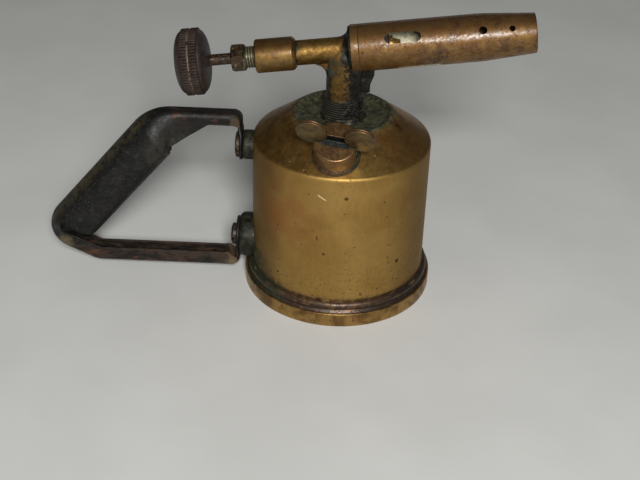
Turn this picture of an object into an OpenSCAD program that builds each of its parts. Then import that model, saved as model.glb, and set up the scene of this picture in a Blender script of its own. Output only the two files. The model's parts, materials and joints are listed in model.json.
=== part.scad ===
// Brass blowtorch: a spirit tank, a burner with a screw-down needle valve and a pressed sheet handle.
// Lengths are in millimetres and angles in degrees. Z is up, X points out of the muzzle, -Y faces the filler.

/* [Tank] */
// Outside diameter of the tank wall
tank_diameter = 80; // [60:1:110]
// Height of the shoulder, where the wall turns in
shoulder_height = 74; // [50:1:110]
// Rounding of the shoulder
shoulder_round = 3; // [2:0.5:6]
// Thickness of the brass sheet
brass_sheet = 1; // [0.6:0.1:1.6]
// Diameter of the rim of the priming dish
dish_diameter = 43; // [34:1:56]
// Slope of the top between shoulder and dish rim
top_slope = 35.5; // [20:0.5:42]
// Depth of the priming dish
dish_depth = 2.4; // [1:0.2:4]
// Width of the sloping side of the dish
dish_side = 3.5; // [2:0.5:6]
// How far the bead above the skirt stands out
bead_reach = 2.3; // [1:0.1:3]

/* [Base] */
// How far the skirt stands out from the tank wall
skirt_reach = 3.7; // [2.5:0.1:6]
// Height of the skirt
skirt_height = 6.7; // [4:0.1:10]
// Gap between skirt and bead
skirt_gap = 0.4; // [0.2:0.1:1]

/* [Filler] */
// Diameter of the filler cap
cap_diameter = 19; // [14:0.5:24]
// Height of the filler cap above its washer
cap_height = 10; // [7:0.5:14]
// Distance from the tank's axis to the filler, where it leaves the sloping top
filler_reach = 30.2; // [27:0.1:32]
// Turn of the filler about the tank's axis, from the front
filler_bearing = -4; // [-30:1:30]
// Turn of the wing plate about the cap's axis
wing_turn = -10; // [-45:1:45]
// Diameter of each ear
ear_diameter = 13.6; // [9:0.2:18]
// Distance of each ear's centre from the cap's axis
ear_reach = 10.4; // [8:0.2:15]
// Height of the ears' centres above the cap's top
ear_rise = 3.2; // [1:0.2:8]
// Thickness of the wing plate
wing_sheet = 2.6; // [2:0.2:4.4]
// Depth of the slot across the cap
cap_slot_depth = 4.6; // [3:0.2:6]
// Height of the wing plate's web in the slot
wing_web = 1.6; // [1:0.2:2.6]
// Thickness of the washer under the cap
cap_washer_sheet = 0.8; // [0.4:0.1:1.5]
// Thickness of the bush's flange
bush_flange = 1.6; // [1:0.1:3]
// How far the bush's flange stands out past the cap
bush_ledge = 0.9; // [0.6:0.1:2.5]
// Diameter of the threaded plug under the cap
plug_diameter = 11; // [8:0.5:13]
// Length of the plug below the washer
plug_length = 7; // [4:0.5:10]

/* [Burner axis] */
// Height at which the burner's axis crosses the tank's axis
burner_height = 116.4; // [108:0.1:130]
// Upward tilt of the burner's axis
burner_tilt = 7.6; // [4:0.2:12]

/* [Burner body] */
// Diameter of the upright stem
stem_diameter = 15.8; // [13:0.2:18]
// Diameter over the thread of the foot
foot_diameter = 17.8; // [16:0.2:19]
// Length of thread that shows above the boss
foot_show = 7.6; // [4:0.2:9]
// Pitch of the thread of the foot
foot_pitch = 1.1; // [0.8:0.1:2.6]
// Height of the stem boss above the dish
boss_height = 2; // [1.6:0.2:7]
// Wall of the stem boss outside its bore
boss_wall = 1.8; // [1.2:0.1:3]
// Diameter of the side arm
arm_diameter = 10.8; // [9:0.2:12.6]
// Distance from the stem's axis to the stuffing box
arm_reach = 21.4; // [17:0.2:28]
// Distance from the stem's axis to the collar
collar_start = 2.4; // [1.6:0.1:4]
// Thickness of the rib under the barrel
rib_thickness = 4.4; // [2:0.2:6]
// How far the rib reaches from the stem's axis
rib_reach = 11.4; // [9.5:0.2:14]
// Height of the rib's foot above the thread
rib_rise = 2.6; // [0:0.2:6]

/* [Valve] */
// Diameter of the stuffing box
box_diameter = 14.6; // [12:0.2:16]
// Length of the stuffing box
box_length = 17.6; // [14:0.2:24]
// Length of gland thread that shows
gland_show = 4.4; // [2:0.2:6]
// Diameter over the gland thread
gland_diameter = 9.6; // [8.4:0.2:10.4]
// Pitch of the gland thread
gland_pitch = 1.1; // [0.8:0.1:1.6]
// Width across the flats of the gland nut
gland_flats = 11; // [9:0.2:13]
// Length of the gland nut's hexagon
gland_length = 6; // [4:0.2:9]
// Diameter of the spindle
spindle_diameter = 4.9; // [4:0.1:5.6]
// Length of spindle that shows between gland nut and knob
spindle_show = 9.8; // [6:0.2:14]

/* [Knob] */
// Diameter over the knurled rows
knob_diameter = 29; // [22:0.2:34]
// Width of both knurled rows together
knob_width = 7.8; // [5:0.2:11]
// Width of the groove between the rows
knob_groove = 0.9; // [0.5:0.1:1.6]
// Number of knurls in a row
knurls = 64; // [40:4:88]
// Depth of the knurls
knurl_depth = 0.4; // [0.2:0.1:0.7]
// Height of the dome that faces the gland nut
knob_inner_dome = 3.4; // [3:0.2:6]
// Height of the dome that faces outward
knob_outer_dome = 3.2; // [3:0.2:5]

/* [Barrel] */
// Outside diameter of the barrel
barrel_diameter = 20.4; // [16:0.2:23]
// Wall of the barrel
barrel_wall = 1.1; // [0.8:0.1:1.6]
// Width of the collar ring
collar_width = 3.5; // [2:0.1:5]
// Distance from the stem's axis to the start of the taper
taper_start = 58; // [48:1:70]
// Distance from the stem's axis to the muzzle
muzzle_reach = 81; // [74:1:95]
// Outside diameter at the muzzle
muzzle_diameter = 17; // [14:0.2:18]
// How far the barrel slides over the burner body
spigot_length = 13; // [10:0.2:14]
// Distance from the stem's axis to the near end of the air slots
slot_start = 17; // [17:0.2:20]
// Length of the air slots
slot_length = 15.5; // [10:0.5:20]
// Height of the air slots
slot_height = 5; // [3:0.2:6]
// Turn of the slots above the horizontal
slot_turn = 40; // [20:1:60]
// Distance from the stem's axis to the near pair of holes
hole_reach = 58.4; // [50:0.2:62]
// Diameter of the near pair of holes
hole_diameter = 3.5; // [2:0.1:4.5]
// Spacing from the near pair to the far pair of holes
hole_spacing = 12.2; // [9:0.2:14]
// Diameter of the far pair of holes
far_hole_diameter = 2.6; // [1.6:0.1:3.4]

/* [Handle] */
// Thickness of the handle's sheet
handle_sheet_gauge = 1.2; // [0.8:0.1:1.6]
// Width of the channel in both arms
arm_width = 8.5; // [6:0.5:12]
// Depth of the upper arm's channel
upper_flange = 5.5; // [4:0.5:8]
// Depth of the lower arm's channel
lower_flange = 7.5; // [4:0.5:8]
// Height of the upper arm's top
upper_arm_height = 84.5; // [76:0.5:95]
// Height of the lower arm's underside
lower_arm_height = 3.9; // [2:0.1:12]
// Distance from the tank's axis to the corner above the grip
grip_corner = 87.1; // [76:0.1:100]
// Slope of the grip
grip_slope = 49.8; // [42:0.2:58]
// Diameter of the rolled grip
grip_diameter = 21.6; // [18:0.2:24]
// Opening of the grip's seam
grip_seam = 2.2; // [1:0.1:4]
// Bend radius above the grip
upper_bend = 22.5; // [22:0.5:30]
// Bend radius below the grip
lower_bend = 13; // [11:0.5:15]
// Slope of the straight knee between grip and lower arm
knee_slope = 26; // [15:1:35]
// Length of the straight knee
knee_length = 13; // [6:0.5:16]
// Bend radius between knee and lower arm
knee_bend = 10; // [6:0.5:14]
// Rounding of the corners at the tabs
tab_corner = 4; // [3:0.5:6]

/* [Handle fixing] */
// Height of the upper screw
upper_screw_height = 68; // [60:0.5:72]
// Height of the lower screw
lower_screw_height = 20; // [16:0.5:26]
// How far the upper boss stands out from the tank
upper_boss_reach = 4.6; // [3:0.2:8]
// How far the lower boss stands out from the tank
lower_boss_reach = 6.4; // [5:0.2:9]
// Diameter of the upper boss
upper_boss_diameter = 13.5; // [12:0.5:18]
// Diameter of the lower boss
lower_boss_diameter = 21; // [16:0.5:22]
// Diameter of the upper screw's head
upper_head_diameter = 11.8; // [9:0.2:14]
// Diameter of the lower screw's head
lower_head_diameter = 10; // [8:0.2:14]
// Thickness of the upper screw's head
upper_head = 2.2; // [1:0.1:3]
// Thickness of the lower screw's head
lower_head = 2.8; // [1:0.1:4]
// Diameter of the screws' shanks
screw_diameter = 5; // [4:0.2:6]
// Half width of the upper tab
upper_tab_half = 7; // [6:0.2:9]
// Half width of the lower tab
lower_tab_half = 8.6; // [6:0.2:10]

/* [Hidden] */
smooth = 96;
cut = 1;
thread_share = 0.24;
running_gap = 0.05;
seat_gap = 0.1;
head_gap = 0.3;

// Tank
tank_r = tank_diameter / 2;
dish_r = dish_diameter / 2;
dish_rim_z = shoulder_height + (tank_r - dish_r) * tan(top_slope);
dish_floor_z = dish_rim_z - dish_depth;
bead_z = skirt_height + skirt_gap + bead_reach;
skirt_r = tank_r + skirt_reach;

// Filler: the axis stands square on the sloping top
filler_z = shoulder_height + (tank_r - filler_reach) * tan(top_slope);
bush_wall = 1.6;
bush_neck_r = plug_diameter / 2 + bush_wall;
bush_depth = 6;
cap_washer_z = bush_flange;
washer_inset = 0.4;
washer_slack = 0.3;
cap_z = cap_washer_z + cap_washer_sheet;
cap_top_z = cap_z + cap_height;
web_z = cap_top_z - cap_slot_depth;
ear_z = cap_top_z + ear_rise;

// Burner body
boss_top_z = dish_floor_z + boss_height;
stem_base_z = boss_top_z + foot_show;
foot_engagement = 0.9;
foot_core_r = foot_diameter / 2 - foot_engagement;
foot_depth = 9;
foot_z = boss_top_z - foot_depth;
boss_r = foot_core_r + boss_wall;
boss_neck_wall = 1;
boss_neck_r = foot_core_r + boss_neck_wall;
boss_flange = 2;
stem_r = stem_diameter / 2;
stem_round_drop = 1.6;
stem_round_z = burner_height - stem_round_drop;
stem_cap_rise = 3.2;
stem_cap_z = burner_height + stem_cap_rise;
stem_cap_r = 4.4;
arm_r = arm_diameter / 2;
flange_step = 0.5;
flange_r = barrel_diameter / 2 - flange_step;
flange_thickness = 0.9;
flange_fillet = 3.2;
barrel_r = barrel_diameter / 2;
spigot_r = barrel_r - barrel_wall;
barrel_start = collar_start + collar_width;
spigot_end = barrel_start + spigot_length;
feed_r = 4;
feed_wall = 0.8;
feed_seat = 8;
feed_top_z = foot_z + feed_seat;
feed_clearance = 6;
feed_end_z = brass_sheet + feed_clearance;
wick_clearance = 2;
wick_end_z = brass_sheet + wick_clearance;
passage_r = 2.6;

// Valve, measured along the burner axis from the stem's axis
spindle_r = spindle_diameter / 2;
bore_r = spindle_r + running_gap;
box_r = box_diameter / 2;
shoulder_step = 0.4;
box_inner = -arm_reach;
box_outer = box_inner - box_length;
socket_depth = 6;
socket_r = arm_r - 1;
packing_r = gland_diameter / 2 - thread_share * gland_pitch;
packing_floor = 1.4;
packing_end = box_inner - socket_depth - packing_floor;
gland_plug = 4.6;
gland_face = box_outer - gland_show;
gland_outer = gland_face - gland_length;
follower_length = 0.9;
follower_face = box_outer + gland_plug;
packing_face = follower_face + follower_length;
chamber_gap = 1.2;
chamber_r = spindle_r + chamber_gap;
chamber_start = -6;
jet_bore_start = 14;
jet_shank_r = 3.2;
jet_bore_r = 1.6;
jet_head_r = 4;
jet_head_length = 1.6;
jet_tip_r = 2;
jet_tip_length = 3.2;
jet_hole_r = 0.4;
needle_lead = 3;
needle_start = jet_bore_start - needle_lead;
needle_entry = 0.8;
needle_end = jet_bore_start + needle_entry;
needle_tip_r = 0.5;

// Knob, outward along the burner axis
knob_r = knob_diameter / 2;
knob_hub = gland_outer - spindle_show;
knob_inner = knob_hub - knob_inner_dome;
knob_outer = knob_inner - knob_width;
knob_end = knob_outer - knob_outer_dome;
row_width = (knob_width - knob_groove) / 2;
knob_ledge = 0.9;
knob_face_r = knob_r - knob_ledge;
shank_step = 0.3;
shank_r = spindle_r - shank_step;
nut_recess_r = 5;
nut_flats = 7;
nut_height = 2.4;
nut_seat = knob_end + nut_height;

// Barrel pin
pin_r = 2.1;
pin_turn = 14;
pin_offset = 4.2;
pin_reach = (barrel_start + spigot_end) / 2 + pin_offset;
pin_depth = 2.6;

// Handle: corner points of the outer line and the lengths between its bends
upper_tab_x = -tank_r - upper_boss_reach;
lower_tab_x = -tank_r - lower_boss_reach;
upper_tab_end = upper_screw_height - upper_tab_half;
lower_tab_end = lower_screw_height + lower_tab_half;
grip_r = grip_diameter / 2;
grip_drop = upper_arm_height - lower_arm_height;
upper_turn = grip_slope;
lower_turn = 180 - grip_slope - knee_slope;
upper_trim = upper_bend * tan(upper_turn / 2);
upper_bend_drop = upper_bend * (1 - cos(upper_turn));
lower_bend_drop = lower_bend * (cos(grip_slope) + cos(knee_slope));
knee_drop = knee_length * sin(knee_slope) + knee_bend * (1 - cos(knee_slope));
corner_run = PI * tab_corner / 2;
upper_run = PI * upper_bend * upper_turn / 180;
lower_run = PI * lower_bend * lower_turn / 180;
knee_run = PI * knee_bend * knee_slope / 180;
upper_tab_run = upper_arm_height - tab_corner - upper_tab_end;
upper_arm_run = grip_corner + upper_tab_x - tab_corner - upper_trim;
grip_run = (grip_drop - upper_bend_drop - lower_bend_drop - knee_drop) / sin(grip_slope);
grip_end_x = upper_trim - grip_corner - upper_bend * sin(upper_turn) - grip_run * cos(grip_slope);
knee_start_x = grip_end_x + lower_bend * (sin(grip_slope) - sin(knee_slope));
knee_end_x = knee_start_x + knee_length * cos(knee_slope) + knee_bend * sin(knee_slope);
lower_arm_run = lower_tab_x - tab_corner - knee_end_x;
lower_tab_run = lower_tab_end - lower_arm_height - tab_corner;
// Each entry is the length of a stretch and the angle through which it turns
stretches = [
    [upper_tab_run, 0],
    [corner_run, 90],
    [upper_arm_run, 0],
    [upper_run, upper_turn],
    [grip_run, 0],
    [lower_run, lower_turn],
    [knee_length, 0],
    [knee_run, knee_slope],
    [lower_arm_run, 0],
    [corner_run, 90],
    [lower_tab_run, 0]
];
// Distances along the sheet at which each stretch ends
end_upper_tab = upper_tab_run;
end_upper_corner = end_upper_tab + corner_run;
end_upper_arm = end_upper_corner + upper_arm_run;
end_upper_bend = end_upper_arm + upper_run;
end_grip = end_upper_bend + grip_run;
end_lower_bend = end_grip + lower_run;
end_knee = end_lower_bend + knee_length;
end_knee_bend = end_knee + knee_run;
end_lower_arm = end_knee_bend + lower_arm_run;
end_lower_corner = end_lower_arm + corner_run;
end_sheet = end_lower_corner + lower_tab_run;
// The flanges begin and the wings open over these lengths. The roll closes a lead before the wings are full
fold_length = 2;
roll_lead = 5;
flap_length = 17;
wing_cut = 4;
fold_round = 2.6;
fold_saving = (2 - PI / 2) * fold_round;
upper_half = arm_width / 2 + upper_flange - fold_saving;
lower_half = arm_width / 2 + lower_flange - fold_saving;
grip_half = PI * grip_r - grip_seam / 2;
tab_tip = 2;
// A share of the fold stays round the tab corners and opens into the tabs over a length
corner_wrap = 0.6;
unfold_length = 6;
neck_half = arm_width / 2 - fold_round * (1 - corner_wrap * PI / 2);
// Plates inside the tab corners: their overlap, the depth at the tab and the run of their sloping end
flange_lap = 1;
flange_inset = 0.05;
corner_seat = 0.9;
corner_step = 15;
upper_end_depth = upper_flange + 1;
upper_end_run = 2.5;
lower_end_depth = 4.2;
lower_end_run = 3.9;
half_steps = 8;
sub_steps = 8;
tab_hole_gap = 0.3;
tab_hole_r = screw_diameter / 2 + tab_hole_gap;
hole_rounding = 0.001;

brass = [0.62, 0.46, 0.2];
dark_brass = [0.25, 0.24, 0.18];
steel = [0.13, 0.11, 0.1];
moulding = [0.1, 0.06, 0.06];
soft = [0.5, 0.44, 0.34];

// Places children so that their Z runs along the burner axis, from the stem's axis towards the muzzle
module along_burner() {
    translate([0, 0, burner_height]) rotate([0, 90 - burner_tilt, 0]) children();
}

// Places children so that their Z runs out of the filler, from the sloping top
module along_filler() {
    rotate([0, 0, filler_bearing])
        translate([0, -filler_reach, filler_z])
            rotate([top_slope, 0, 0]) children();
}

// Places children so that their Z runs away from the tank along -X at the given height
module along_screw(height) {
    translate([0, 0, height]) rotate([0, -90, 0]) children();
}

// A cylinder between two stations of its axis
module rod(radius, from, to) {
    translate([0, 0, from]) cylinder(r = radius, h = to - from, $fn = smooth);
}

// A cone frustum between two stations of its axis
module taper(radius_from, radius_to, from, to) {
    translate([0, 0, from]) cylinder(r1 = radius_from, r2 = radius_to, h = to - from, $fn = smooth);
}

// A tube between two stations of its axis
module tube(radius, bore, from, to) {
    difference() {
        rod(radius, from, to);
        rod(bore, from - cut, to + cut);
    }
}

// Rod with rings of thread
module threaded_rod(radius, pitch, from, to) {
    turns = floor((to - from) / pitch);
    step = (to - from) / turns;
    root = radius - thread_share * pitch;
    rod(root, from, to);
    for (i = [0 : turns - 1]) {
        taper(root, radius, from + i * step, from + (i + 0.5) * step);
        taper(radius, root, from + (i + 0.5) * step, from + (i + 1) * step);
    }
}

// Spherical cap of the given base radius and height
module dome_cap(base, height) {
    ball = (base * base + height * height) / (2 * height);
    intersection() {
        translate([0, 0, height - ball]) sphere(r = ball, $fn = smooth);
        rod(base, 0, height);
    }
}

// Half outline of everything inside the tank's outer surface, drawn smaller by the inset
module tank_outline(inset, low) {
    wall_r = tank_r - inset;
    corner_z = shoulder_height - inset * cos(top_slope) + inset * (1 - sin(top_slope)) * tan(top_slope);
    rounding = shoulder_round - inset;
    trim = rounding * tan((90 - top_slope) / 2);
    polygon([
        [0, low],
        [wall_r, low],
        [wall_r, corner_z - trim],
        [wall_r - trim * cos(top_slope), corner_z + trim * sin(top_slope)],
        [dish_r, dish_rim_z - inset / cos(top_slope)],
        [dish_r - dish_side, dish_floor_z - inset],
        [0, dish_floor_z - inset]
    ]);
    translate([wall_r - rounding, corner_z - trim]) circle(r = rounding, $fn = smooth);
}

module bead_ring() {
    rotate_extrude($fn = smooth) intersection() {
        translate([tank_r, bead_z]) circle(r = bead_reach, $fn = smooth);
        translate([tank_r - brass_sheet / 2, 0]) square([2 * bead_reach, 2 * bead_z]);
    }
}

module tank_shell() color(brass) {
    difference() {
        union() {
            rotate_extrude($fn = smooth) difference() {
                tank_outline(0, brass_sheet);
                tank_outline(brass_sheet, 0);
            }
            bead_ring();
        }
        rod(boss_neck_r, 0, dish_rim_z);
        along_filler() rod(bush_neck_r, -bush_depth, bush_depth);
    }
}

module tank_bottom() color(brass) {
    rod(skirt_r, 0, brass_sheet);
    tube(skirt_r, skirt_r - brass_sheet, 0, skirt_height);
}

module stem_boss() color(dark_brass) {
    difference() {
        union() {
            rod(boss_r, dish_floor_z, boss_top_z);
            rod(boss_neck_r, dish_floor_z - brass_sheet - boss_flange, dish_floor_z);
            rod(boss_r, dish_floor_z - brass_sheet - boss_flange, dish_floor_z - brass_sheet);
        }
        rod(foot_core_r, foot_z - cut, boss_top_z + cut);
    }
}

// Ring cut to the slope of the tank's top, on a neck that passes through the sheet
module filler_bush() color(dark_brass) {
    slope_run = 2 * bush_depth;
    difference() {
        union() {
            difference() {
                along_filler() rod(cap_diameter / 2 + bush_ledge, -bush_depth, bush_flange);
                taper(tank_r + slope_run, 0, shoulder_height - slope_run * tan(top_slope),
                    shoulder_height + tank_r * tan(top_slope));
            }
            along_filler() rod(bush_neck_r, -bush_depth, bush_flange);
        }
        along_filler() rod(plug_diameter / 2 + running_gap, -bush_depth - cut, bush_flange + cut);
    }
}

module filler_washer() color(soft) {
    along_filler()
        tube(cap_diameter / 2 - washer_inset, plug_diameter / 2 + washer_slack, cap_washer_z,
            cap_z - running_gap);
}

module filler_cap() color(brass) {
    along_filler() {
        rod(plug_diameter / 2, cap_washer_z - plug_length, cap_z);
        difference() {
            rod(cap_diameter / 2, cap_z, cap_top_z);
            rotate([0, 0, wing_turn]) translate([-cap_diameter, -wing_sheet / 2, web_z])
                cube([2 * cap_diameter, wing_sheet, 2 * cap_slot_depth]);
        }
    }
}

// Flat plate: a web in the slot and a round ear at each end
module filler_wing() color(brass) {
    half_chord = sqrt(pow(cap_diameter / 2, 2) - pow(wing_sheet / 2, 2));
    along_filler() rotate([0, 0, wing_turn]) translate([0, wing_sheet / 2, 0]) rotate([90, 0, 0])
        linear_extrude(height = wing_sheet) {
            translate([-half_chord, web_z]) square([2 * half_chord, wing_web]);
            for (side = [-1, 1]) difference() {
                union() {
                    translate([side * ear_reach, ear_z]) circle(d = ear_diameter, $fn = smooth);
                    translate([side * half_chord - (side + 1) * wing_web, web_z])
                        square([2 * wing_web, ear_z - web_z]);
                }
                translate([-half_chord + 2 * wing_web, 0]) square([2 * half_chord - 4 * wing_web, web_z]);
            }
        }
}

// Disc with a saddle that fits the tank wall, and a blind hole for its screw
module handle_boss(diameter, reach, height) {
    difference() {
        along_screw(height) rod(diameter / 2, tank_r - reach, tank_r + reach);
        rod(tank_r, 0, burner_height);
        bead_ring();
        along_screw(height) rod(screw_diameter / 2, tank_r + brass_sheet / 2, tank_r + reach + cut);
    }
}

module upper_boss() color(dark_brass) handle_boss(upper_boss_diameter, upper_boss_reach, upper_screw_height);

module lower_boss() color(dark_brass) handle_boss(lower_boss_diameter, lower_boss_reach, lower_screw_height);

// Slotted screw whose head bears on the inside of a handle tab
module handle_screw(head_diameter, head, reach, height) {
    bearing = tank_r + reach + handle_sheet_gauge;
    slot_width = head_diameter / 8;
    along_screw(height) {
        rod(screw_diameter / 2, tank_r + brass_sheet / 2, bearing);
        difference() {
            rod(head_diameter / 2, bearing, bearing + head);
            translate([-slot_width / 2, -head_diameter, bearing + head / 2])
                cube([slot_width, 2 * head_diameter, head]);
        }
    }
}

module upper_screw() color(steel) {
    handle_screw(upper_head_diameter, upper_head, upper_boss_reach, upper_screw_height);
}

module lower_screw() color(steel) {
    handle_screw(lower_head_diameter, lower_head, lower_boss_reach, lower_screw_height);
}

// Straight and smooth steps from 0 at a to 1 at b
function ramp(a, b, x) = min(1, max(0, (x - a) / (b - a)));
function ease(a, b, x) = let (t = ramp(a, b, x)) t * t * (3 - 2 * t);

// State [x, z, heading] after moving a length along a stretch that turns evenly
function moved(s, length, stretch) =
    stretch[1] == 0
        ? [s[0] + length * cos(s[2]), s[1] + length * sin(s[2]), s[2]]
        : let (bend = stretch[0] * 180 / (PI * stretch[1]), h = s[2] + stretch[1] * length / stretch[0])
            [s[0] + bend * (sin(h) - sin(s[2])), s[1] - bend * (cos(h) - cos(s[2])), h];

// State at a distance along the sheet, from stretch i onwards
function sheet_at(d, i, s) =
    d <= stretches[i][0] || i == len(stretches) - 1
        ? moved(s, d, stretches[i])
        : sheet_at(d - stretches[i][0], i + 1, moved(s, stretches[i][0], stretches[i]));

// Half width of a tab at a distance from its end: a round end, then a waist down to the neck
function tab_half(half, run, d) =
    d < half ? max(tab_tip, sqrt(half * half - pow(half - d, 2)))
    : half + (neck_half - half) * ease(half + tab_hole_r, run, d);

// Half width of the flat sheet at a distance along it
function sheet_half(d) =
    d < end_upper_corner ? tab_half(upper_tab_half, upper_tab_run, d)
    : d < end_upper_arm - flap_length
        ? neck_half + (upper_half - neck_half) * ease(end_upper_corner, end_upper_corner + fold_length, d)
    : d < end_grip
        ? upper_half + (grip_half - upper_half) * ramp(end_upper_arm - flap_length, end_upper_bend, d)
            + (lower_half - grip_half) * ease(end_grip - wing_cut, end_grip, d)
    : d < end_lower_arm
        ? lower_half + (neck_half - lower_half) * ease(end_lower_arm - fold_length, end_lower_arm, d)
    : tab_half(lower_tab_half, lower_tab_run, end_sheet - d);

// Share of channel fold at a distance along the sheet
function channel_share(d) =
    ease(end_upper_tab - unfold_length, end_upper_tab, d)
        * (1 - ease(end_lower_corner, end_lower_corner + unfold_length, d));

// Share of roll at a distance along the sheet
function roll_share(d) =
    ease(end_upper_arm - flap_length / 2, end_upper_bend - roll_lead, d)
        * (1 - ease(end_grip, end_lower_bend, d));

// Direction of the section's line at distance u from its middle
function fold_angle(u) = -90 * min(1, max(0, (u - arm_width / 2 + fold_round) / (PI * fold_round / 2)));
function roll_angle(u) = -u / grip_r * 180 / PI;
function section_angle(d, u) =
    let (r = roll_share(d)) r * roll_angle(u) + (1 - r) * channel_share(d) * fold_angle(u);

// Half width of a screw hole at a distance along the sheet, or zero away from the holes
function hole_half(d) =
    let (away = min(abs(d - upper_tab_half), abs(d - end_sheet + lower_tab_half)))
    away < tab_hole_r - hole_rounding ? sqrt(tab_hole_r * tab_hole_r - away * away) : 0;

// Points of half a section from its middle, or its hole, to its edge: each is [sideways, inward, direction]
function half_section(d) =
    let (start = hole_half(d), step = (sheet_half(d) - start) / (half_steps * sub_steps))
    [for (i = 0, y = start, n = 0; i <= half_steps * sub_steps;
        y = y + step * cos(section_angle(d, start + (i + 0.5) * step)),
        n = n + step * sin(section_angle(d, start + (i + 0.5) * step)),
        i = i + 1) if (i % sub_steps == 0) [y, n, section_angle(d, start + i * step)]];

// Points of a section placed in space: outer layer then inner layer, in each the left half then the right
function placed_section(d) =
    let (s = sheet_at(d, 0, [upper_tab_x, upper_tab_end, 90]))
    let (nx = sin(s[2]), nz = -cos(s[2]), half = half_section(d))
    [for (layer = [0, 1], side = [-1, 1], h = half)
        let (g = layer * handle_sheet_gauge, y = side * (h[0] + g * sin(h[2])), n = h[1] - g * cos(h[2]))
        [s[0] + n * nx, y, s[1] + n * nz]];

// Evenly spaced distances over a stretch, without its end
function spread(from, to, count) = [for (i = [0 : count - 1]) from + (to - from) * i / count];

sheet_stations = concat(
    spread(0, upper_tab_half - tab_hole_r, 3),
    spread(upper_tab_half - tab_hole_r, upper_tab_half + tab_hole_r, 8),
    spread(upper_tab_half + tab_hole_r, end_upper_tab, 6),
    spread(end_upper_tab, end_upper_corner, 4),
    spread(end_upper_corner, end_upper_corner + fold_length, 4),
    spread(end_upper_corner + fold_length, end_upper_arm - flap_length, 1),
    spread(end_upper_arm - flap_length, end_upper_arm, 7),
    spread(end_upper_arm, end_upper_bend, 10),
    spread(end_upper_bend, end_grip - wing_cut, 2),
    spread(end_grip - wing_cut, end_grip, 4),
    spread(end_grip, end_lower_bend, 12),
    spread(end_lower_bend, end_knee, 1),
    spread(end_knee, end_knee_bend, 4),
    spread(end_knee_bend, end_lower_arm - fold_length, 1),
    spread(end_lower_arm - fold_length, end_lower_arm, 4),
    spread(end_lower_arm, end_lower_corner, 4),
    spread(end_lower_corner, end_sheet - lower_tab_half - tab_hole_r, 6),
    spread(end_sheet - lower_tab_half - tab_hole_r, end_sheet - lower_tab_half + tab_hole_r, 8),
    spread(end_sheet - lower_tab_half + tab_hole_r, end_sheet, 3),
    [end_sheet]
);
last_station = len(sheet_stations) - 1;
station_points = 4 * (half_steps + 1);

// Number of a point: the two halves share their middle where there is no hole
function point_at(j, side, k, layer) =
    let (half = side == 0 && k == 0 && hole_half(sheet_stations[j]) == 0 ? 1 : side)
    j * station_points + (2 * layer + half) * (half_steps + 1) + k;

// Two triangles from four corners, turned over when the flag is set
function two_triangles(a, b, c, d, flip) = flip ? [[a, c, b], [a, d, c]] : [[a, b, c], [a, c, d]];

// Face between two stations over one step of a layer
function layer_faces(j, side, k, layer) =
    two_triangles(point_at(j, side, k, layer), point_at(j + 1, side, k, layer),
        point_at(j + 1, side, k + 1, layer), point_at(j, side, k + 1, layer), (side + layer) % 2 == 0);

// Wall between the layers along one line of the section
function wall_faces(j, side, k, flip) =
    two_triangles(point_at(j, side, k, 0), point_at(j + 1, side, k, 0), point_at(j + 1, side, k, 1),
        point_at(j, side, k, 1), flip);

// Closing face of one step at an end of the sheet
function end_faces(j, side, k, flip) =
    two_triangles(point_at(j, side, k, 1), point_at(j, side, k, 0), point_at(j, side, k + 1, 0),
        point_at(j, side, k + 1, 1), flip);

// True where a hole runs between a station and the next
function in_hole(j) = hole_half(sheet_stations[j]) + hole_half(sheet_stations[j + 1]) > 0;

// Plates that carry an arm's two flanges on to its tab, inside the corner of the sheet
module flange_ends(tab_x, arm_z, way, flange, end_depth, end_run) {
    full = tab_corner + fold_length;
    seat = tab_corner - corner_seat * handle_sheet_gauge;
    edge = flange - flange_inset;
    outline = concat(
        [[full + flange_lap, fold_round], [full, fold_round]],
        [for (a = [90 : -corner_step : 0]) [tab_corner - seat * cos(a), tab_corner - seat * sin(a)]],
        [[tab_corner - seat, end_depth], [tab_corner - seat + end_run, edge], [full + flange_lap, edge]]
    );
    for (side = [-1, 1])
        translate([tab_x, side * (arm_width - handle_sheet_gauge) / 2, arm_z]) rotate([90, 0, 0])
            linear_extrude(handle_sheet_gauge - 2 * flange_inset, center = true)
                polygon([for (p = outline) [-p[0], way * p[1]]]);
}

module handle_sheet() color(steel) difference() {
    union() {
        folded_strip();
        flange_ends(upper_tab_x, upper_arm_height, -1, upper_flange, upper_end_depth, upper_end_run);
        flange_ends(lower_tab_x, lower_arm_height, 1, lower_flange, lower_end_depth, lower_end_run);
    }
    head_room(upper_head_diameter, upper_head, upper_boss_reach, upper_screw_height);
    head_room(lower_head_diameter, lower_head, lower_boss_reach, lower_screw_height);
}

// Clear space round a screw's head, outside the face it bears on
module head_room(head_diameter, head, reach, height) {
    bearing = tank_r + reach + handle_sheet_gauge;
    along_screw(height) rod(head_diameter / 2 + head_gap, bearing + running_gap, bearing + head + head_gap);
}

// The sheet as one strip, folded across its width and bent along its length
module folded_strip() polyhedron(
    points = [for (d = sheet_stations) each placed_section(d)],
    faces = concat(
        [for (j = [0 : last_station - 1], side = [0, 1], k = [0 : half_steps - 1], layer = [0, 1])
            each layer_faces(j, side, k, layer)],
        [for (j = [0 : last_station - 1], side = [0, 1]) each wall_faces(j, side, half_steps, side == 0)],
        [for (j = [0 : last_station - 1], side = [0, 1])
            if (in_hole(j)) each wall_faces(j, side, 0, side == 1)],
        [for (side = [0, 1], k = [0 : half_steps - 1]) each end_faces(0, side, k, side == 0)],
        [for (side = [0, 1], k = [0 : half_steps - 1]) each end_faces(last_station, side, k, side == 1)]
    )
);

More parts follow.
